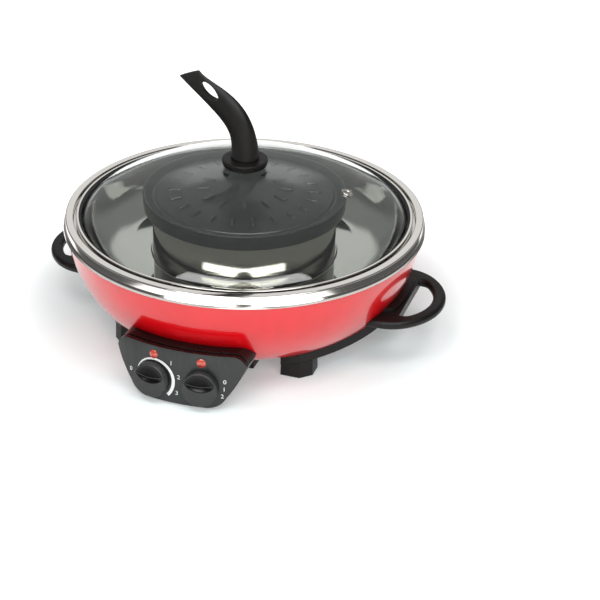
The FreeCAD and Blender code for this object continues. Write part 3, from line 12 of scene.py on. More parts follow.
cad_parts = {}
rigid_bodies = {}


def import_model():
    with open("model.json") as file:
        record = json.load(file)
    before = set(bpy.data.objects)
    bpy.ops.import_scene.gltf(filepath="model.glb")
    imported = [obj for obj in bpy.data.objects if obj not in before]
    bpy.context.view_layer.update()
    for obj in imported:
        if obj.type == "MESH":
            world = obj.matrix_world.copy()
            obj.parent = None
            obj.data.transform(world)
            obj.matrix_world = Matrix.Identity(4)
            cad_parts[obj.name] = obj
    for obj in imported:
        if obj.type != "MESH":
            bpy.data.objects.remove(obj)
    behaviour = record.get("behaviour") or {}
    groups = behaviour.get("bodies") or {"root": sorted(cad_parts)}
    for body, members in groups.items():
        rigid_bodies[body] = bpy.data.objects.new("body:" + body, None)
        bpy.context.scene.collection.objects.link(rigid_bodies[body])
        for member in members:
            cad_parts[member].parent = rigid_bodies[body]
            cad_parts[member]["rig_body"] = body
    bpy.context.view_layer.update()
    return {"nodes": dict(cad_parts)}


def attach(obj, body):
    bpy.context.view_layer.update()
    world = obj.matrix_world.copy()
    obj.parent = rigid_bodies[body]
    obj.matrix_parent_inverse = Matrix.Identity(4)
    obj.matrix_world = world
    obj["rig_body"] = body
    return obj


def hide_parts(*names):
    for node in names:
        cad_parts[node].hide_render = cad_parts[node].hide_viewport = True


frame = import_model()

MM = 0.001
TURN = 2 * math.pi


# Colours and nodes

def linear(code):
    """sRGB hex to the linear values that Blender's sockets take."""
    parts = [int(code[i:i + 2], 16) / 255 for i in (1, 3, 5)]
    return tuple(c / 12.92 if c <= 0.04045 else ((c + 0.055) / 1.055) ** 2.4 for c in parts) + (1,)


def add_node(tree, kind, settings=None, links=None):
    """One node with its properties, socket values and incoming links."""
    made = tree.nodes.new(kind)
    for name, value in (settings or {}).items():
        if isinstance(name, int) or name in made.inputs:
            made.inputs[name].default_value = value
        else:
            setattr(made, name, value)
    for name, source in (links or {}).items():
        tree.links.new(source, made.inputs[name])
    return made


def ramp(tree, source, low, high):
    """Nought at the first value and one at the second, smooth between."""
    return add_node(tree, "ShaderNodeMapRange",
                    {"interpolation_type": "SMOOTHSTEP", "From Min": low, "From Max": high},
                    {"Value": source}).outputs["Result"]


def maths(tree, operation, one, two):
    """A Math node on two sources or numbers."""
    settings, links = {"operation": operation}, {}
    for slot, term in enumerate((one, two)):
        (settings if isinstance(term, (int, float)) else links)[slot] = term
    return add_node(tree, "ShaderNodeMath", settings, links).outputs[0]


def new_material(name):
    """An empty material and its tree, with a Principled surface on the output."""
    material = bpy.data.materials.new(name)
    material.use_nodes = True
    tree = material.node_tree
    tree.nodes.clear()
    surface = add_node(tree, "ShaderNodeBsdfPrincipled")
    add_node(tree, "ShaderNodeOutputMaterial", links={"Surface": surface.outputs["BSDF"]})
    return material, tree, surface


def set_surface(surface, **values):
    """Constant values on the shader's own sockets."""
    for name, value in values.items():
        surface.inputs[name.replace("_", " ")].default_value = value


def grain(tree, millimetres, detail=3.0, roughness=0.5, stretch=(1, 1, 1)):
    """Noise whose features are about this size on the object."""
    place = add_node(tree, "ShaderNodeTexCoord")
    mapping = add_node(tree, "ShaderNodeMapping", {"Scale": stretch},
                       {"Vector": place.outputs["Object"]})
    return add_node(tree, "ShaderNodeTexNoise",
                    {"Scale": 1 / (millimetres * MM), "Detail": detail, "Roughness": roughness},
                    {"Vector": mapping.outputs["Vector"]})


def lathe_lines(tree, millimetres, detail=4.0):
    """Noise that runs round the pot's axis, as lines left by a lathe or a polishing belt."""
    place = add_node(tree, "ShaderNodeTexCoord")
    split = add_node(tree, "ShaderNodeSeparateXYZ", links={"Vector": place.outputs["Object"]})
    squares = [maths(tree, "POWER", split.outputs[axis], 2.0) for axis in "XY"]
    radius = maths(tree, "SQRT", maths(tree, "ADD", *squares), 0.0)
    flat = add_node(tree, "ShaderNodeCombineXYZ", links={"X": radius, "Z": split.outputs["Z"]})
    return add_node(tree, "ShaderNodeTexNoise",
                    {"Scale": 1 / (millimetres * MM), "Detail": detail, "Roughness": 0.6},
                    {"Vector": flat.outputs["Vector"]})


def between(tree, source, low, high):
    """A noise value spread over a range."""
    return add_node(tree, "ShaderNodeMapRange",
                    {"From Min": 0.3, "From Max": 0.7, "To Min": low, "To Max": high},
                    {"Value": source})


def tint(tree, source, dark, light):
    """A colour that wanders between two hex values with a noise."""
    mix = add_node(tree, "ShaderNodeMix", {"data_type": "RGBA"})
    colours = [s for s in mix.inputs if s.type == "RGBA"]
    colours[0].default_value = linear(dark)
    colours[1].default_value = linear(light)
    spread = between(tree, source, 0.0, 1.0)
    tree.links.new(spread.outputs["Result"], mix.inputs["Factor"])
    return next(s for s in mix.outputs if s.type == "RGBA")


def bump(tree, surface, source, depth_mm):
    """A noise as fine relief on the surface."""
    made = add_node(tree, "ShaderNodeBump", {"Strength": 1.0, "Distance": depth_mm * MM},
                    {"Height": source})
    tree.links.new(made.outputs["Normal"], surface.inputs["Normal"])


def enamel_red():
    """Baked gloss enamel on pressed sheet: a deep even red under a clear, faintly wavy skin."""
    material, tree, surface = new_material("red_baked_enamel")
    wave = grain(tree, 14, 1.0)
    tree.links.new(tint(tree, wave.outputs["Fac"], "#E0000F", "#E60414"),
                   surface.inputs["Base Color"])
    set_surface(surface, Roughness=0.32, Specular_IOR_Level=0.25, Coat_Weight=1.0,
                Coat_Roughness=0.025, Coat_IOR=1.55)
    bump(tree, surface, grain(tree, 5.0, 1.0).outputs["Fac"], 0.002)
    return material


def stainless(name, base, low, high, line_mm, depth_mm):
    """18/8 stainless sheet: a mirror broken by the fine lines of its polishing."""
    material, tree, surface = new_material(name)
    lines = lathe_lines(tree, line_mm)
    rough = between(tree, lines.outputs["Fac"], low, high)
    tree.links.new(rough.outputs["Result"], surface.inputs["Roughness"])
    set_surface(surface, Base_Color=linear(base), Metallic=1.0)
    bump(tree, surface, lines.outputs["Fac"], depth_mm)
    return material


def nonstick_coating():
    """Sprayed non-stick coating on a casting: dark, dull, with a faint fleck."""
    material, tree, surface = new_material("dark_nonstick_coating")
    fleck = grain(tree, 0.9, 2.0)
    tree.links.new(tint(tree, fleck.outputs["Fac"], "#1C1D1D", "#242525"),
                   surface.inputs["Base Color"])
    rough = between(tree, grain(tree, 6, 3.0).outputs["Fac"], 0.30, 0.38)
    tree.links.new(rough.outputs["Result"], surface.inputs["Roughness"])
    bump(tree, surface, grain(tree, 0.9, 2.0).outputs["Fac"], 0.025)
    return material


def clear_glass():
    """Tempered soda-lime glass, clear with the faint green-grey of its thickness."""
    material, tree, surface = new_material("clear_tempered_glass")
    set_surface(surface, Base_Color=linear("#F4F8F6"), Roughness=0.0, IOR=1.46,
                Transmission_Weight=1.0)
    path = add_node(tree, "ShaderNodeLightPath")
    open_air = add_node(tree, "ShaderNodeBsdfTransparent", {"Color": linear("#F0F4F2")})
    mixed = add_node(tree, "ShaderNodeMixShader", {},
                     {0: path.outputs["Is Shadow Ray"], 1: surface.outputs["BSDF"],
                      2: open_air.outputs["BSDF"]})
    output = next(n for n in tree.nodes if n.type == "OUTPUT_MATERIAL")
    tree.links.new(mixed.outputs["Shader"], output.inputs["Surface"])
    return material


def moulding(name, dark, light, low, high, shine=0.5, grit_mm=0.5, depth_mm=0.02):
    """A moulded plastic with the fine spark-eroded grain of its mould."""
    material, tree, surface = new_material(name)
    cloud = grain(tree, 18, 3.0)
    tree.links.new(tint(tree, cloud.outputs["Fac"], dark, light), surface.inputs["Base Color"])
    rough = between(tree, grain(tree, 3.5, 3.0).outputs["Fac"], low, high)
    tree.links.new(rough.outputs["Result"], surface.inputs["Roughness"])
    set_surface(surface, Specular_IOR_Level=shine)
    bump(tree, surface, grain(tree, grit_mm, 2.0).outputs["Fac"], depth_mm)
    return material


def lamp_lens():
    """Moulded polycarbonate lens, red right through, over a neon lamp."""
    material, tree, surface = new_material("red_lamp_polycarbonate")
    # The lighter orange patches in this red stand in for the lit neon and its highlights inside
    # the lens: painted glow and painted highlights.
    glow = grain(tree, 2.0, 1.0)
    tree.links.new(tint(tree, glow.outputs["Fac"], "#A8281E", "#E8624C"),
                   surface.inputs["Base Color"])
    set_surface(surface, Roughness=0.16, IOR=1.585, Transmission_Weight=0.15, Coat_Weight=0.6,
                Coat_Roughness=0.05)
    return material


def printing(name, colour):
    """Pad-printed ink, flat and slightly satin."""
    material, tree, surface = new_material(name)
    ink = grain(tree, 0.4, 2.0)
    tree.links.new(tint(tree, ink.outputs["Fac"], colour, colour), surface.inputs["Base Color"])
    set_surface(surface, Roughness=0.5)
    return material


def plain_metal(name, dark, light, low, high):
    """A metal out of sight, with short marks left by its making."""
    material, tree, surface = new_material(name)
    marks = grain(tree, 0.8, 3.0, stretch=(1, 1, 6))
    tree.links.new(tint(tree, marks.outputs["Fac"], dark, light), surface.inputs["Base Color"])
    rough = between(tree, marks.outputs["Fac"], low, high)
    tree.links.new(rough.outputs["Result"], surface.inputs["Roughness"])
    set_surface(surface, Metallic=1.0)
    return material


ENAMEL = enamel_red()
RIM_STEEL = stainless("polished_stainless_rim", "#E3E0DB", 0.07, 0.13, 1.2, 0.001)
TROUGH_STEEL = stainless("mirror_stainless_trough", "#CFCDC8", 0.04, 0.08, 5.0, 0.006)
COLUMN_STEEL = stainless("brushed_stainless_column", "#CFCCC5", 0.08, 0.14, 0.7, 0.0006)
COATING = nonstick_coating()
GLASS = clear_glass()
SILICONE = moulding("black_silicone", "#161616", "#1B1B1B", 0.45, 0.6)
PHENOLIC = moulding("black_phenolic_moulding", "#110F0E", "#161413", 0.36, 0.48, 0.3)
HOUSING_ABS = moulding("dark_grey_abs_moulding", "#212323", "#262828", 0.28, 0.38)
# The knob's satin grey is lighter than its moulding so that the lower half looks lit: painted
# light. The polished black below is a real finish on the panel and, on the knobs, painted shade.
KNOB_ABS_WITH_PAINTED_LIGHT = moulding("satin_knob_abs_with_painted_light", "#2E2F2F", "#353636", 0.34, 0.44, 0.4)
GLOSS_ABS_AND_KNOB_SHADE = moulding("polished_black_abs_and_knob_shade", "#0A0A0A", "#0E0E0E", 0.20, 0.28, 0.3, 1.5, 0.004)
RUBBER = moulding("black_foot_rubber", "#191919", "#202020", 0.6, 0.8)
CERAMIC = moulding("glazed_ceramic", "#D9D4C6", "#E2DDD0", 0.25, 0.4)
LENS = lamp_lens()
WHITE_INK = printing("white_pad_print", "#E9EBEA")
ZINC = plain_metal("zinc_plated_steel", "#A9ABAE", "#BFC1C3", 0.25, 0.4)
SHEATH = plain_metal("heat_tinted_element_sheath", "#4F4A47", "#6A625B", 0.35, 0.5)
ALUMINIUM = plain_metal("mill_finish_aluminium", "#C3C5C6", "#D2D3D4", 0.28, 0.42)

NODE_FINISHES = {
    "lid_screw_washer": SILICONE, "lid_handle_screw": ZINC, "foot_pads": RUBBER,
    "foot_screws": ZINC, "cover_screws": ZINC, "cord_gland": RUBBER,
    "hotpot_knob_shaft": ZINC, "grill_knob_shaft": ZINC, "thermostat": CERAMIC,
    "grill_switch": PHENOLIC, "hotpot_lamp_holder": CERAMIC, "grill_lamp_holder": CERAMIC,
    "heat_spreader": ALUMINIUM, "hotpot_element": SHEATH, "element_clamps": ZINC,
    "thermal_cutout": CERAMIC, "grill_reflector": ALUMINIUM, "grill_element": SHEATH,
    "element_posts": CERAMIC, "terminal_block": CERAMIC,
}


def finish_node(name, material):
    """A CAD node that stays as it is and takes a better material."""
    mesh = frame["nodes"][name].data
    mesh.materials.clear()
    mesh.materials.append(material)


for node_name, finish in NODE_FINISHES.items():
    finish_node(node_name, finish)


# Meshes

def place(name, mesh, material, body, slot, replaces=()):
    """A finished piece on its body, with the CAD nodes that it stands for hidden. The slot is not
    used.
    """
    piece = bpy.data.objects.new(name, mesh)
    bpy.context.scene.collection.objects.link(piece)
    mesh.materials.clear()
    mesh.materials.append(material)
    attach(piece, body)
    if replaces:
        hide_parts(*replaces)
    return piece


def second_finish(mesh, material, marks):
    """A second material on the polygons marked 1, the others being marked 0."""
    mesh.materials.append(material)
    mesh.polygons.foreach_set("material_index", marks)


def finished_mesh(name, bm, sharp=32.0):
    """The bmesh as a mesh in metres, smooth except across its hard edges."""
    bmesh.ops.remove_doubles(bm, verts=bm.verts, dist=1e-5)
    bmesh.ops.recalc_face_normals(bm, faces=bm.faces)
    limit = math.radians(sharp)
    for edge in bm.edges:
        edge.smooth = not (edge.is_manifold and edge.calc_face_angle(0) > limit)
    for face in bm.faces:
        face.smooth = True
    bm.transform(Matrix.Scale(MM, 4))
    mesh = bpy.data.meshes.new(name)
    bm.to_mesh(mesh)
    bm.free()
    return mesh


def arc(centre, radius, start, finish, steps):
    """Points along an arc, with its angles in degrees."""
    points = []
    for i in range(steps + 1):
        angle = math.radians(start + (finish - start) * i / steps)
        points.append((centre[0] + radius * math.cos(angle), centre[1] + radius * math.sin(angle)))
    return points


def rounded(corners, closed=True, steps=5):
    """A path through the corners, each x, y and the radius that it is rounded to."""
    path = []
    count = len(corners)
    for i, corner in enumerate(corners):
        x, y, radius = (tuple(corner) + (0,))[:3]
        ends = not closed and i in (0, count - 1)
        if radius <= 0 or ends:
            path.append((x, y))
            continue
        here = Vector((x, y))
        back = Vector(corners[i - 1][:2]) - here
        ahead = Vector(corners[(i + 1) % count][:2]) - here
        half = back.angle(ahead) / 2
        reach = min(radius / math.tan(half), 0.49 * back.length, 0.49 * ahead.length)
        start, finish = here + back.normalized() * reach, here + ahead.normalized() * reach
        for k in range(steps + 1):
            share = k / steps
            one, two = start.lerp(here, share), here.lerp(finish, share)
            path.append(tuple(one.lerp(two, share)))
    return path


def thick(path, wall):
    """A closed outline: the path and its copy moved to the left of it by the wall."""
    moved = []
    for i, point in enumerate(path):
        before = Vector(path[max(i - 1, 0)])
        after = Vector(path[min(i + 1, len(path) - 1)])
        along = (after - before).normalized()
        moved.append((point[0] - along.y * wall, point[1] + along.x * wall))
    return list(path) + moved[::-1]


def lathe(outline, segments=256):
    """Turn a closed outline of radius and height round the pot's axis."""
    bm = bmesh.new()
    rings = []
    for i in range(segments):
        angle = TURN * i / segments
        ring = []
        for radius, height in outline:
            if radius < 1e-6:
                ring.append(None)
            else:
                ring.append(bm.verts.new((radius * math.cos(angle), radius * math.sin(angle),
                                          height)))
        rings.append(ring)
    poles = {k: bm.verts.new((0, 0, outline[k][1])) for k in range(len(outline))
             if outline[k][0] < 1e-6}
    count = len(outline)
    for i in range(segments):
        one, two = rings[i], rings[(i + 1) % segments]
        for k in range(count):
            n = (k + 1) % count
            corners = [one[k] or poles[k], two[k] or poles[k], two[n] or poles[n],
                       one[n] or poles[n]]
            face = list(dict.fromkeys(corners))
            if len(face) > 2:
                bm.faces.new(face)
    return bm


def lathed(name, outline, segments, material, body, slot, *replaces):
    """A lathed piece, finished and placed."""
    place(name, finished_mesh(name, lathe(outline, segments)), material, body, slot, replaces)


def softened(node, name, material, slot, width=0.8, sharp=32.0):
    """A merged copy of a CAD node with its hard edges rounded, in the node's place."""
    source = frame["nodes"][node]
    bm = bmesh.new()
    bm.from_mesh(source.data)
    bm.transform(Matrix.Scale(1 / MM, 4))
    bmesh.ops.remove_doubles(bm, verts=bm.verts, dist=0.002)
    bmesh.ops.dissolve_limit(bm, angle_limit=math.radians(0.6), verts=bm.verts, edges=bm.edges)
    bmesh.ops.recalc_face_normals(bm, faces=bm.faces)
    mesh = bpy.data.meshes.new(name)
    bm.transform(Matrix.Scale(MM, 4))
    bm.to_mesh(mesh)
    bm.free()
    piece = bpy.data.objects.new(name, mesh)
    bpy.context.scene.collection.objects.link(piece)
    bevel = piece.modifiers.new("edge", "BEVEL")
    bevel.width = width * MM
    bevel.segments = 3
    bevel.limit_method = "ANGLE"
    bevel.angle_limit = math.radians(sharp)
    bevel.use_clamp_overlap = True
    bevel.miter_outer = "MITER_ARC"
    done = bpy.data.meshes.new_from_object(
        piece.evaluated_get(bpy.context.evaluated_depsgraph_get()))
    bpy.data.objects.remove(piece)
    done.name = name
    bm = bmesh.new()
    bm.from_mesh(done)
    bm.transform(Matrix.Scale(1 / MM, 4))
    return place(name, finished_mesh(name, bm, 40.0), material, source["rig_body"], slot, (node,))


# Round pieces

ROUND = 384
RIM_HEIGHT, LEDGE, BOWL_TOP = 128.0, 121.2, 115.2
SHEET, POT_SHEET, COLUMN_WALL = 1.2, 0.9, 1.2
SIDE_CENTRE, SIDE_HEIGHT, SIDE_CURVE = 67.3, 121.37, 124.0
CORNER_CENTRE, CORNER_HEIGHT, CORNER_CURVE = 100.47, 99.0, 84.0
BOWL_TURN = 34.0
BOTTOM_HOLE = 80.0


def bowl_path(offset, steps=40):
    """The bowl's outline from the flat bottom up to the top edge, moved outwards."""
    corner = arc((CORNER_CENTRE, CORNER_HEIGHT), CORNER_CURVE + offset, -90, -BOWL_TURN, steps)
    top = math.degrees(math.asin((BOWL_TOP - SIDE_HEIGHT) / (SIDE_CURVE + offset)))
    side = arc((SIDE_CENTRE, SIDE_HEIGHT), SIDE_CURVE + offset, -BOWL_TURN, top, steps)
    return corner + side[1:]


def make_bowl():
    bottom = CORNER_HEIGHT - CORNER_CURVE
    outer = [(BOTTOM_HOLE, bottom)] + bowl_path(0)
    inner = bowl_path(-SHEET)[::-1] + [(BOTTOM_HOLE, bottom + SHEET)]
    lathed("red_bowl", outer + inner, ROUND, ENAMEL, "base", "red_enamel", "outer_bowl")


def make_pot():
    """Trough and ring in one pressing, split only by their finish."""
    hollow = arc((124.34, 139.0), 56.0, -90, -28, 24)
    ring = [
        (178.32, LEDGE, 1.2), (184.0, LEDGE, 0.8), (184.0, RIM_HEIGHT, 0.9),
        (192.3, RIM_HEIGHT, 1.4), (192.5, 119.9, 0.3), (194.4, 118.1, 0.5),
        (195.0, 115.5, 0.5), (190.0, 115.5, 0),
    ]
    path = rounded([(100.05, 86.5, 0), (100.05, 83.0, 1.5)] + hollow + ring,
                   closed=False, steps=10)
    split = next(i for i, point in enumerate(path) if point[0] > 181.0)
    lathed("steel_trough", thick(path[:split + 1], -POT_SHEET), ROUND, TROUGH_STEEL, "base",
           "polished_steel", "inner_pot")
    lathed("steel_rim", thick(path[split:], -POT_SHEET), ROUND, RIM_STEEL, "base",
           "polished_steel")


def make_column():
    path = rounded([
        (104.5, 81.4, 0), (98.7, 81.4, 1.2), (98.7, 140.2, 2.4), (88.0, 140.2, 0),
    ], closed=False)
    lathed("steel_column", thick(path, COLUMN_WALL), 320, COLUMN_STEEL, "base",
           "brushed_steel", "grill_column")


CROWN_RADIUS, CROWN_RISE, CROWN_TOP = 94.5, 6.5, 154.4
CROWN_CURVE = (CROWN_RADIUS ** 2 + CROWN_RISE ** 2) / (2 * CROWN_RISE)


def crown_height(radius):
    """Height of the plate's domed middle at a radius."""
    return CROWN_TOP - CROWN_CURVE + math.sqrt(CROWN_CURVE ** 2 - radius ** 2)


def rib_ring_tree():
    """Geometry Nodes that set a rib round a circle, count times from a first angle."""
    tree = bpy.data.node_groups.new("rib_ring", "GeometryNodeTree")
    tree.interface.new_socket("Geometry", in_out="INPUT", socket_type="NodeSocketGeometry")
    for name, kind in (("Radius", "NodeSocketFloat"), ("Count", "NodeSocketInt"),
                       ("First angle", "NodeSocketFloat"), ("Coating", "NodeSocketMaterial")):
        tree.interface.new_socket(name, in_out="INPUT", socket_type=kind)
    tree.interface.new_socket("Geometry", in_out="OUTPUT", socket_type="NodeSocketGeometry")
    given = add_node(tree, "NodeGroupInput")
    circle = add_node(tree, "GeometryNodeMeshCircle", {},
                      {"Vertices": given.outputs["Count"], "Radius": given.outputs["Radius"]})
    points = add_node(tree, "GeometryNodeMeshToPoints", {}, {"Mesh": circle.outputs["Mesh"]})
    where = add_node(tree, "GeometryNodeInputPosition")
    split = add_node(tree, "ShaderNodeSeparateXYZ", links={"Vector": where.outputs["Position"]})
    angle = add_node(tree, "ShaderNodeMath", {"operation": "ARCTAN2"},
                     {0: split.outputs["Y"], 1: split.outputs["X"]})
    spin = add_node(tree, "ShaderNodeCombineXYZ", links={"Z": angle.outputs["Value"]})
    ribs = add_node(tree, "GeometryNodeInstanceOnPoints", {},
                    {"Points": points.outputs["Points"], "Instance": given.outputs["Geometry"],
                     "Rotation": spin.outputs["Vector"]})
    turn = add_node(tree, "ShaderNodeCombineXYZ", links={"Z": given.outputs["First angle"]})
    turned = add_node(tree, "GeometryNodeTransform", {},
                      {"Geometry": ribs.outputs["Instances"], "Rotation": turn.outputs["Vector"]})
    solid = add_node(tree, "GeometryNodeRealizeInstances", {},
                     {"Geometry": turned.outputs["Geometry"]})
    dressed = add_node(tree, "GeometryNodeSetMaterial", {},
                       {"Geometry": solid.outputs["Geometry"],
                        "Material": given.outputs["Coating"]})
    add_node(tree, "NodeGroupOutput", {}, {"Geometry": dressed.outputs["Geometry"]})
    return tree


def run_tree(mesh, tree, **values):
    """The mesh that a Geometry Nodes tree makes from another."""
    carrier = bpy.data.objects.new("carrier", mesh)
    bpy.context.scene.collection.objects.link(carrier)
    modifier = carrier.modifiers.new("nodes", "NODES")
    modifier.node_group = tree
    sockets = {item.name: item.identifier for item in tree.interface.items_tree
               if item.item_type == "SOCKET" and item.in_out == "INPUT"}
    for name, value in values.items():
        modifier[sockets[name.replace("_", " ")]] = value
    graph = bpy.context.evaluated_depsgraph_get()
    graph.update()
    made = bpy.data.meshes.new_from_object(carrier.evaluated_get(graph))
    bpy.data.objects.remove(carrier)
    return made


def rib_mesh(start, finish, width, height):
    """One raised rib along X about its own middle, with rounded ends and top."""
    middle = (start + finish) / 2
    half, side = (finish - start) / 2, width / 2
    bm = bmesh.new()
    rings = []
    for inset, rise in ((0, -1.6), (0, 0.08 * height), (0.4, 0.42 * height),
                        (0.8, 0.72 * height), (1.25, 0.93 * height), (1.75, height)):
        ring = []
        straight = half - side
        radius = max(side - inset, 0.2)
        for end, first in ((1, -90), (-1, 90)):
            for k in range(7):
                angle = math.radians(first + 30 * k)
                x = end * straight + radius * math.cos(angle)
                y = radius * math.sin(angle)
                ring.append(bm.verts.new((x, y, crown_height(abs(middle + x)) + rise)))
        rings.append(ring)
    for low, high in zip(rings, rings[1:]):
        for k in range(len(low)):
            n = (k + 1) % len(low)
            bm.faces.new((low[k], low[n], high[n], high[k]))
    bm.faces.new(rings[-1])
    bm.faces.new(rings[0][::-1])
    return finished_mesh("rib", bm, 60.0)


def make_plate():
    profile = rounded([
        (0, 148.4), (87.7, 142.8, 1), (87.7, 140.5, 0.4), (104.4, 140.5, 0.8),
        (104.4, 134.3, 0.6), (107.6, 134.3, 0.9), (108.9, 150.9, 1.0), (106.3, 150.9, 0.9),
        (98.5, 146.7, 2.5), (95.7, 146.7, 1.2), (CROWN_RADIUS, CROWN_TOP - CROWN_RISE, 0.8),
    ], closed=False)
    crown = [(r, crown_height(r)) for r in (92, 84, 72, 60, 48, 36, 24, 12, 0)]
    bm = lathe([p for p in profile if p[0] > 0 or p[1] < 150] + crown, 256)
    joined = [finished_mesh("plate_casting", bm)]
    tree = rib_ring_tree()
    for start, finish, count, first in ((68, 82, 22, 2.2), (36, 52, 12, 19.7)):
        rib = rib_mesh(start, finish, 4.2, 2.0)
        joined.append(run_tree(rib, tree, Radius=(start + finish) / 2 * MM, Count=count,
                               First_angle=math.radians(first), Coating=COATING))
    bm = bmesh.new()
    for mesh in joined:
        bm.from_mesh(mesh)
    mesh = bpy.data.meshes.new("grill_casting")
    bm.to_mesh(mesh)
    bm.free()
    place("grill_casting", mesh, COATING, "plate", "cast_coating", ("grill_plate",))


SHOULDER_CENTRE = (140.32, 101.21)
DOME_CENTRE_HEIGHT = -138.77
DOME_CURVE, SHOULDER_CURVE = 320.0, 42.0
EDGE_TURN = 58.6
DOME_TURN = math.degrees(math.asin(SHOULDER_CENTRE[0] / (DOME_CURVE - SHOULDER_CURVE)))


def glass_path(inset, first_radius):
    """The dome from its edge to the hole in the middle, moved in by inset."""
    shoulder = arc(SHOULDER_CENTRE, SHOULDER_CURVE - inset, 90 - EDGE_TURN, 90 - DOME_TURN, 16)
    start = math.degrees(math.asin(first_radius / (DOME_CURVE - inset)))
    dome = arc((0, DOME_CENTRE_HEIGHT), DOME_CURVE - inset, 90 - DOME_TURN, 90 - start, 32)
    return shoulder + dome[1:]


def make_lid():
    outer = glass_path(0, 2.8)
    inner = glass_path(4.0, 2.8)
    edge = Vector(outer[0]).lerp(Vector(inner[0]), 0.5)
    across = (Vector(outer[0]) - Vector(inner[0])).normalized()
    bulge = edge + Vector((across.y, -across.x)) * 1.2
    lathed("glass_dome", outer + inner[::-1] + [tuple(bulge)], 320, GLASS, "lid", "glass",
           "lid_glass")

    band = rounded([
        (175.0, 121.9, 0), (180.9, 121.9, 1.0), (180.9, 128.6, 0.8), (178.2, 128.6, 0),
    ], closed=False)
    lathed("lid_hoop", thick(band, 0.8), 320, RIM_STEEL, "lid", "polished_steel", "lid_band")
    seal = rounded([
        (176.9, 122.3, 0.3), (180.4, 122.3, 0.3), (180.4, 127.6, 0.3), (176.4, 127.4, 0.4),
        (175.2, 126.6, 0.3),
    ])
    lathed("lid_gasket", seal, 320, SILICONE, "lid", "silicone", "lid_seal")

    collar = rounded([
        (2.8, 181.6, 0.2), (19.0, 181.6, 0.3), (19.0, 183.2, 0.5), (22.8, 183.2, 0.5),
        (23.6, 184.0, 0.4), (23.6, 185.5, 0.3), (22.8, 186.0, 0.3), (22.8, 186.3, 0.3),
        (24.4, 186.9, 0.7), (24.4, 190.6, 1.2), (2.8, 191.0, 0.3),
    ])
    lathed("handle_collar", collar, 128, PHENOLIC, "lid", "black_plastic",
           "lid_handle_collar")

    # The vent's eyelet stands square to the glass.
    distance, turn = 110.5, math.radians(7.8)
    lean = math.asin(distance / DOME_CURVE)
    square = Matrix.Rotation(turn, 4, "Z") @ Matrix.Translation(
        (distance, 0, DOME_CENTRE_HEIGHT + DOME_CURVE * math.cos(lean)))
    square = square @ Matrix.Rotation(lean, 4, "Y")
    eyelet = rounded([
        (2.9, -5.2, 0.3), (5.3, -5.2, 0.4), (5.3, -4.15, 0.3), (4.0, -4.1, 0.2),
        (4.0, 0.15, 0.2), (6.4, 0.15, 0.2), (6.2, 1.15, 0.8), (3.2, 1.35, 0.9),
    ])
    bm = lathe(eyelet, 64)
    bm.transform(square)
    place("vent_ring", finished_mesh("vent_ring", bm), RIM_STEEL, "lid", "polished_steel",
          ("vent_eyelet",))


FACE_RADIUS, FACE_LOW, FACE_TILT = 200.9, 3.0, 4.0
DIAL_TURN, DIAL_HEIGHT = 7.5, 26.0
SIDE_LEAN = 0.45


def on_face(hand, across, up, lift):
    """A point across and up from a dial's middle, lifted off the cone of the panel's face."""
    slope = math.radians(FACE_TILT)
    height = DIAL_HEIGHT + up * math.cos(slope)
    radius = FACE_RADIUS - (height - FACE_LOW) * math.tan(slope) + lift
    angle = math.radians(hand * DIAL_TURN) + across / FACE_RADIUS
    return Vector((radius * math.sin(angle), -radius * math.cos(angle), height))


def face_frame(hand):
    """A dial's own axes: across the face, up it, and out of it."""
    turn, slope = math.radians(hand * DIAL_TURN), math.radians(FACE_TILT)
    across = Vector((math.cos(turn), math.sin(turn), 0))
    out = Vector((math.sin(turn) * math.cos(slope), -math.cos(turn) * math.cos(slope),
                  math.sin(slope)))
    matrix = Matrix((across, out.cross(across), out)).transposed().to_4x4()
    matrix.translation = on_face(hand, 0, 0, 0)
    return matrix


def make_panel_face():
    """The grey face, whose sides are polished black."""
    piece = softened("control_face", "panel_face", HOUSING_ABS, "face_moulding", 0.7)
    outward = {hand: face_frame(hand).to_3x3().col[2] for hand in (-1, 1)}
    marks = [int(polygon.normal.dot(outward[-1 if polygon.center.x < 0 else 1]) < SIDE_LEAN)
             for polygon in piece.data.polygons]
    second_finish(piece.data, GLOSS_ABS_AND_KNOB_SHADE, marks)


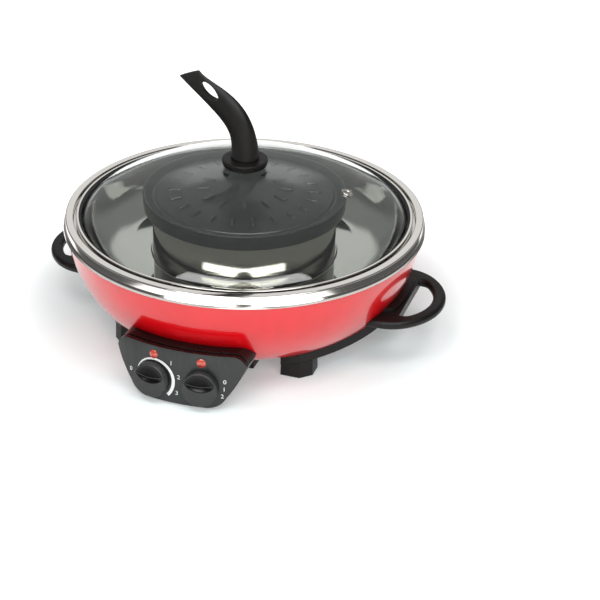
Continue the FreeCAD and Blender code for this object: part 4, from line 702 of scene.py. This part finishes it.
def make_knob(hand, node, name):
    """A round knob: a polished upper lens ends in a bowed ridge over a crescent hollow. The upper
    lens, the ridge's wall and the hollow take the near-black polished moulding, whose darkness is
    painted shade; the lower half and the crest's bead keep the lighter satin, as painted light and
    a painted highlight line.
    """
    lip, top, ends = 17.0, 8.6, 15.8
    middle, sag, width, rise, depth = 4.8, 2.2, 7.4, 2.6, 2.6
    bm = bmesh.new()
    rows = []
    for i in range(73):
        x = -lip * math.cos(math.pi * i / 72)
        reach = math.sqrt(max(lip ** 2 - x ** 2, 0))
        bow = max(1 - (x / ends) ** 2, 0)
        line = middle + sag * (x / lip) ** 2
        crest = min(line, 0.97 * reach)
        wall = 0.15 + 1.3 * bow
        below = max(min(line - width * math.sqrt(bow), crest - wall - 0.1), -0.97 * reach)
        foot = max(crest - wall, below)
        ridge, bed = top + rise * bow, top - depth * bow
        row = [(-reach + (below + reach) * k / 8, top) for k in range(9)]
        row += [(below + (foot - below) * k / 5, bed + (top - bed) * (1 - k / 5) ** 1.5)
                for k in range(1, 6)]
        row += [(foot + (crest - foot) * share, bed + (ridge - bed) * climb)
                for share, climb in ((0.35, 0.5), (0.6, 0.8), (0.8, 0.94), (1, 1))]
        row += [(crest + min(0.5, 0.1 * (reach - crest)), ridge)]
        row += [(crest + (reach - crest) * k / 8, top + (ridge - top) * (1 - k / 8) ** 1.3)
                for k in range(1, 9)]
        rows.append([bm.verts.new((x, y, height)) for y, height in row])
    for one, two in zip(rows, rows[1:]):
        for k in range(len(one) - 1):
            face = bm.faces.new((one[k], two[k], two[k + 1], one[k + 1]))
            # The hollow, the ridge's wall and the upper lens are marked for the near-black
            # moulding as painted shade; the two faces of the crest's bead stay on the lighter
            # satin as a painted highlight line.
            ridge_painted_highlight = k in (16, 17)
            face.material_index = int(k >= 8 and not ridge_painted_highlight)
    loop = [row[0] for row in rows] + [row[-1] for row in rows[-2:0:-1]]
    for radius, height in ((17.5, 8.55), (18.05, 8.2), (18.4, 7.6), (18.5, 7.0), (18.5, 0.9),
                           (18.2, 0.6)):
        ring = [bm.verts.new((v.co.x / lip * radius, v.co.y / lip * radius, height))
                for v in loop]
        for k in range(len(loop)):
            n = (k + 1) % len(loop)
            bm.faces.new((loop[k], ring[k], ring[n], loop[n]))
        loop, lip = ring, radius
    bm.faces.new(loop)
    bm.transform(face_frame(hand))
    mesh = finished_mesh(name, bm, 50.0)
    marks = [polygon.material_index for polygon in mesh.polygons]
    place(name, mesh, KNOB_ABS_WITH_PAINTED_LIGHT, frame["nodes"][node]["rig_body"], "knob_moulding", (node,))
    second_finish(mesh, GLOSS_ABS_AND_KNOB_SHADE, marks)


def printed(name, bm):
    """Ink on the panel's face."""
    place(name, finished_mesh(name, bm), WHITE_INK, "base", "face_moulding")


def make_dial_arc():
    """The swelling line round the hot pot's dial, printed on the curved face."""
    bm = bmesh.new()
    rings = []
    for i in range(113):
        angle = 182 - 2 * i
        swell = min((182 - angle) / 166, 1.0)
        inner, outer = 18.9 + 2.4 * swell, 19.6 + 5.1 * swell
        across, up = math.cos(math.radians(angle)), math.sin(math.radians(angle))
        rings.append([bm.verts.new(on_face(-1, radius * across, radius * up, lift))
                      for radius, lift in ((inner, 0.02), (outer, 0.02), (outer, 0.14),
                                           (inner, 0.14))])
    for one, two in zip(rings, rings[1:]):
        for k in range(4):
            bm.faces.new((one[k], one[k - 1], two[k - 1], two[k]))
    bm.faces.new(rings[0])
    bm.faces.new(rings[-1][::-1])
    printed("dial_arc", bm)


def make_numbers():
    """Plain numbers beside the dials, bent to the face."""
    bm = bmesh.new()
    for hand, digit, across, up in ((-1, "0", -27.4, 2.1), (-1, "1", 20.0, 20.6),
                                    (-1, "2", 28.6, 6.6), (-1, "3", 27.0, -11.6),
                                    (1, "0", 24.6, 7.4), (1, "1", 24.0, -0.8),
                                    (1, "2", 22.2, -9.0)):
        text = bpy.data.curves.new("number", "FONT")
        text.body, text.size, text.extrude = digit, 6.4, 0.06
        text.align_x, text.align_y = "CENTER", "CENTER"
        text.resolution_u = 4
        carrier = bpy.data.objects.new("number", text)
        mesh = bpy.data.meshes.new_from_object(carrier)
        bpy.data.objects.remove(carrier)
        start = len(bm.verts)
        bm.from_mesh(mesh)
        bm.verts.ensure_lookup_table()
        for vertex in bm.verts[start:]:
            x, y, z = vertex.co
            vertex.co = on_face(hand, across + 1.12 * x, up + y, 0.08 + z)
    printed("dial_numbers", bm)


make_bowl()
make_pot()
make_column()
make_plate()
make_lid()
make_dial_arc()
make_numbers()

softened("lid_handle", "leaning_grip", PHENOLIC, "black_plastic", 1.2, 30.0)
for side in ("left", "right"):
    softened(f"side_handle_{side}", f"loop_handle_{side}", PHENOLIC, "black_plastic", 1.2)
for corner in ("front_right", "front_left", "rear_right", "rear_left"):
    softened(f"foot_{corner}", f"foot_block_{corner}", PHENOLIC, "black_plastic", 1.5)
softened("base_cover", "base_tray", PHENOLIC, "black_plastic", 0.6)
softened("control_housing", "panel_housing", GLOSS_ABS_AND_KNOB_SHADE, "black_plastic", 0.12)
make_panel_face()
for hand, dial in ((-1, "hotpot"), (1, "grill")):
    make_knob(hand, f"{dial}_knob", f"{dial}_dial_knob")
    softened(f"{dial}_lamp_lens", f"{dial}_lamp_cap", LENS, "lamp_red", 0.3)


# Floor, light and camera

MIDDLE = Vector((0, 0, 0.1))
EYE_TURN, EYE_RISE, EYE_ROLL = math.radians(19.8), math.radians(27.05), math.radians(0.49)
EYE_DISTANCE = 2.0
PHOTO_SIDE, PHOTO_FOCUS, PHOTO_MIDDLE = 600.0, 1845.0, (244.3, 234.0)
SENSOR = 36.0


def from_the_eye(tree, source):
    """A place or direction split into aside, away and up as the photograph sees them."""
    facing = add_node(tree, "ShaderNodeMapping", {"Rotation": (0, 0, -EYE_TURN)},
                      {"Vector": source})
    return add_node(tree, "ShaderNodeSeparateXYZ", links={"Vector": facing.outputs["Vector"]})


def make_floor():
    """A white table that keeps a soft grey shadow, and in mirrors darkens a little way off."""
    mesh = bpy.data.meshes.new("table_top")
    half = 8.0
    mesh.from_pydata([(-half, -half, 0), (half, -half, 0), (half, half, 0), (-half, half, 0)],
                     [], [(0, 1, 2, 3)])
    floor = bpy.data.objects.new("table_top", mesh)
    bpy.context.scene.collection.objects.link(floor)
    material, tree, surface = new_material("white_sweep")
    where = add_node(tree, "ShaderNodeNewGeometry")
    split = from_the_eye(tree, where.outputs["Position"])
    aside = maths(tree, "ABSOLUTE", maths(tree, "ADD", split.outputs["X"], 0.025), 0.0)
    path = add_node(tree, "ShaderNodeLightPath")
    mirrored = path.outputs["Is Glossy Ray"]
    dusk = maths(tree, "SUBTRACT", ramp(tree, aside, 0.330, 0.345),
                 maths(tree, "MULTIPLY", ramp(tree, aside, 0.46, 0.62), 0.5))
    past = maths(tree, "MULTIPLY", mirrored, dusk)
    kept = maths(tree, "SUBTRACT", 1.0, maths(tree, "MULTIPLY", past, 0.93))
    straight = maths(tree, "MAXIMUM", path.outputs["Is Camera Ray"],
                     path.outputs["Is Transmission Ray"])
    seen = maths(tree, "MAXIMUM", mirrored, straight)
    white = maths(tree, "SUBTRACT", 0.87, maths(tree, "MULTIPLY", seen, 0.16))
    plain = maths(tree, "MULTIPLY", white, kept)
    away = add_node(tree, "ShaderNodeVectorMath", {"operation": "LENGTH"},
                    {0: where.outputs["Position"]}).outputs["Value"]
    # Red lowered near the object: a painted cyan cast that cancels the red light the bowl throws
    # on the table.
    red_bounce_painted_out = maths(tree, "ADD", maths(tree, "MULTIPLY", ramp(tree, away, 0.20, 0.32), 0.09), 0.91)
    red = maths(tree, "MULTIPLY", plain, red_bounce_painted_out)
    balanced = add_node(tree, "ShaderNodeCombineColor",
                        links={"Red": red, "Green": plain, "Blue": plain})
    tree.links.new(balanced.outputs["Color"], surface.inputs["Base Color"])
    far = maths(tree, "ADD", maths(tree, "MULTIPLY", ramp(tree, away, 0.18, 0.36), 0.55), 0.26)
    glow = maths(tree, "MULTIPLY", maths(tree, "MULTIPLY", seen, far), kept)
    tree.links.new(glow, surface.inputs["Emission Strength"])
    set_surface(surface, Roughness=0.9, Specular_IOR_Level=0.0, Emission_Color=(1, 1, 1, 1))
    mesh.materials.append(material)


def area_light(name, place_m, width, height, power):
    """A softbox that faces the middle of the object, with its sides in metres and its watts."""
    data = bpy.data.lights.new(name, "AREA")
    data.shape = "RECTANGLE"
    data.size, data.size_y = width, height
    data.energy = power
    lamp = bpy.data.objects.new(name, data)
    bpy.context.scene.collection.objects.link(lamp)
    lamp.location = place_m
    lamp.rotation_euler = (MIDDLE - Vector(place_m)).to_track_quat("-Z", "Y").to_euler()


def make_world():
    """A dark studio, with a lit sweep low behind the object and a dimmer one above that."""
    world = bpy.data.worlds.new("studio")
    bpy.context.scene.world = world
    world.use_nodes = True
    tree = world.node_tree
    tree.nodes.clear()
    place_in = add_node(tree, "ShaderNodeTexCoord")
    split = from_the_eye(tree, place_in.outputs["Generated"])
    aside = maths(tree, "ABSOLUTE", split.outputs["X"], 0.0)
    depth = ramp(tree, split.outputs["Y"], -0.25, 0.10)
    over = maths(tree, "MULTIPLY", ramp(tree, aside, 0.75, 0.55), 0.18)
    band = maths(tree, "MULTIPLY", ramp(tree, split.outputs["Z"], 0.60, 0.52),
                 ramp(tree, split.outputs["Z"], 0.28, 0.40))
    low = maths(tree, "MULTIPLY", ramp(tree, aside, 0.30, 0.16), band)
    lit = maths(tree, "ADD", maths(tree, "MULTIPLY", low, 0.58), over)
    window = maths(tree, "MULTIPLY", depth, lit)
    path = add_node(tree, "ShaderNodeLightPath")
    level = maths(tree, "MAXIMUM", maths(tree, "ADD", window, 0.10),
                  path.outputs["Is Camera Ray"])
    background = add_node(tree, "ShaderNodeBackground", {"Color": (1, 1, 1, 1)},
                          {"Strength": level})
    add_node(tree, "ShaderNodeOutputWorld", links={"Surface": background.outputs["Background"]})


def make_camera():
    """The photograph's eye, with its picture sizes in pixels."""
    level = math.cos(EYE_RISE)
    back = Vector((math.sin(EYE_TURN) * level, -math.cos(EYE_TURN) * level, math.sin(EYE_RISE)))
    right = Vector((math.cos(EYE_TURN), math.sin(EYE_TURN), 0))
    up = back.cross(right)
    rolled_right = right * math.cos(EYE_ROLL) + up * math.sin(EYE_ROLL)
    rolled_up = up * math.cos(EYE_ROLL) - right * math.sin(EYE_ROLL)
    data = bpy.data.cameras.new("eye")
    data.sensor_width = SENSOR
    data.lens = PHOTO_FOCUS / PHOTO_SIDE * SENSOR
    data.shift_x = (PHOTO_SIDE / 2 - PHOTO_MIDDLE[0]) / PHOTO_SIDE
    data.shift_y = (PHOTO_MIDDLE[1] - PHOTO_SIDE / 2) / PHOTO_SIDE
    data.clip_end = 50.0
    eye = bpy.data.objects.new("eye", data)
    bpy.context.scene.collection.objects.link(eye)
    matrix = Matrix((rolled_right, rolled_up, back)).transposed().to_4x4()
    matrix.translation = MIDDLE + back * EYE_DISTANCE
    eye.matrix_world = matrix
    bpy.context.scene.camera = eye


make_floor()
make_world()
area_light("high_left_softbox", (-0.292, -1.019, 2.05), 1.15, 0.9, 17)
area_light("high_right_softbox", (0.875, -0.599, 2.05), 1.15, 0.9, 17)
area_light("left_softbox", (-0.10, -2.15, 1.40), 1.4, 0.8, 20)
area_light("right_softbox", (1.34, -1.69, 1.40), 1.4, 0.8, 20)
make_camera()
bpy.context.scene.view_settings.view_transform = "Standard"
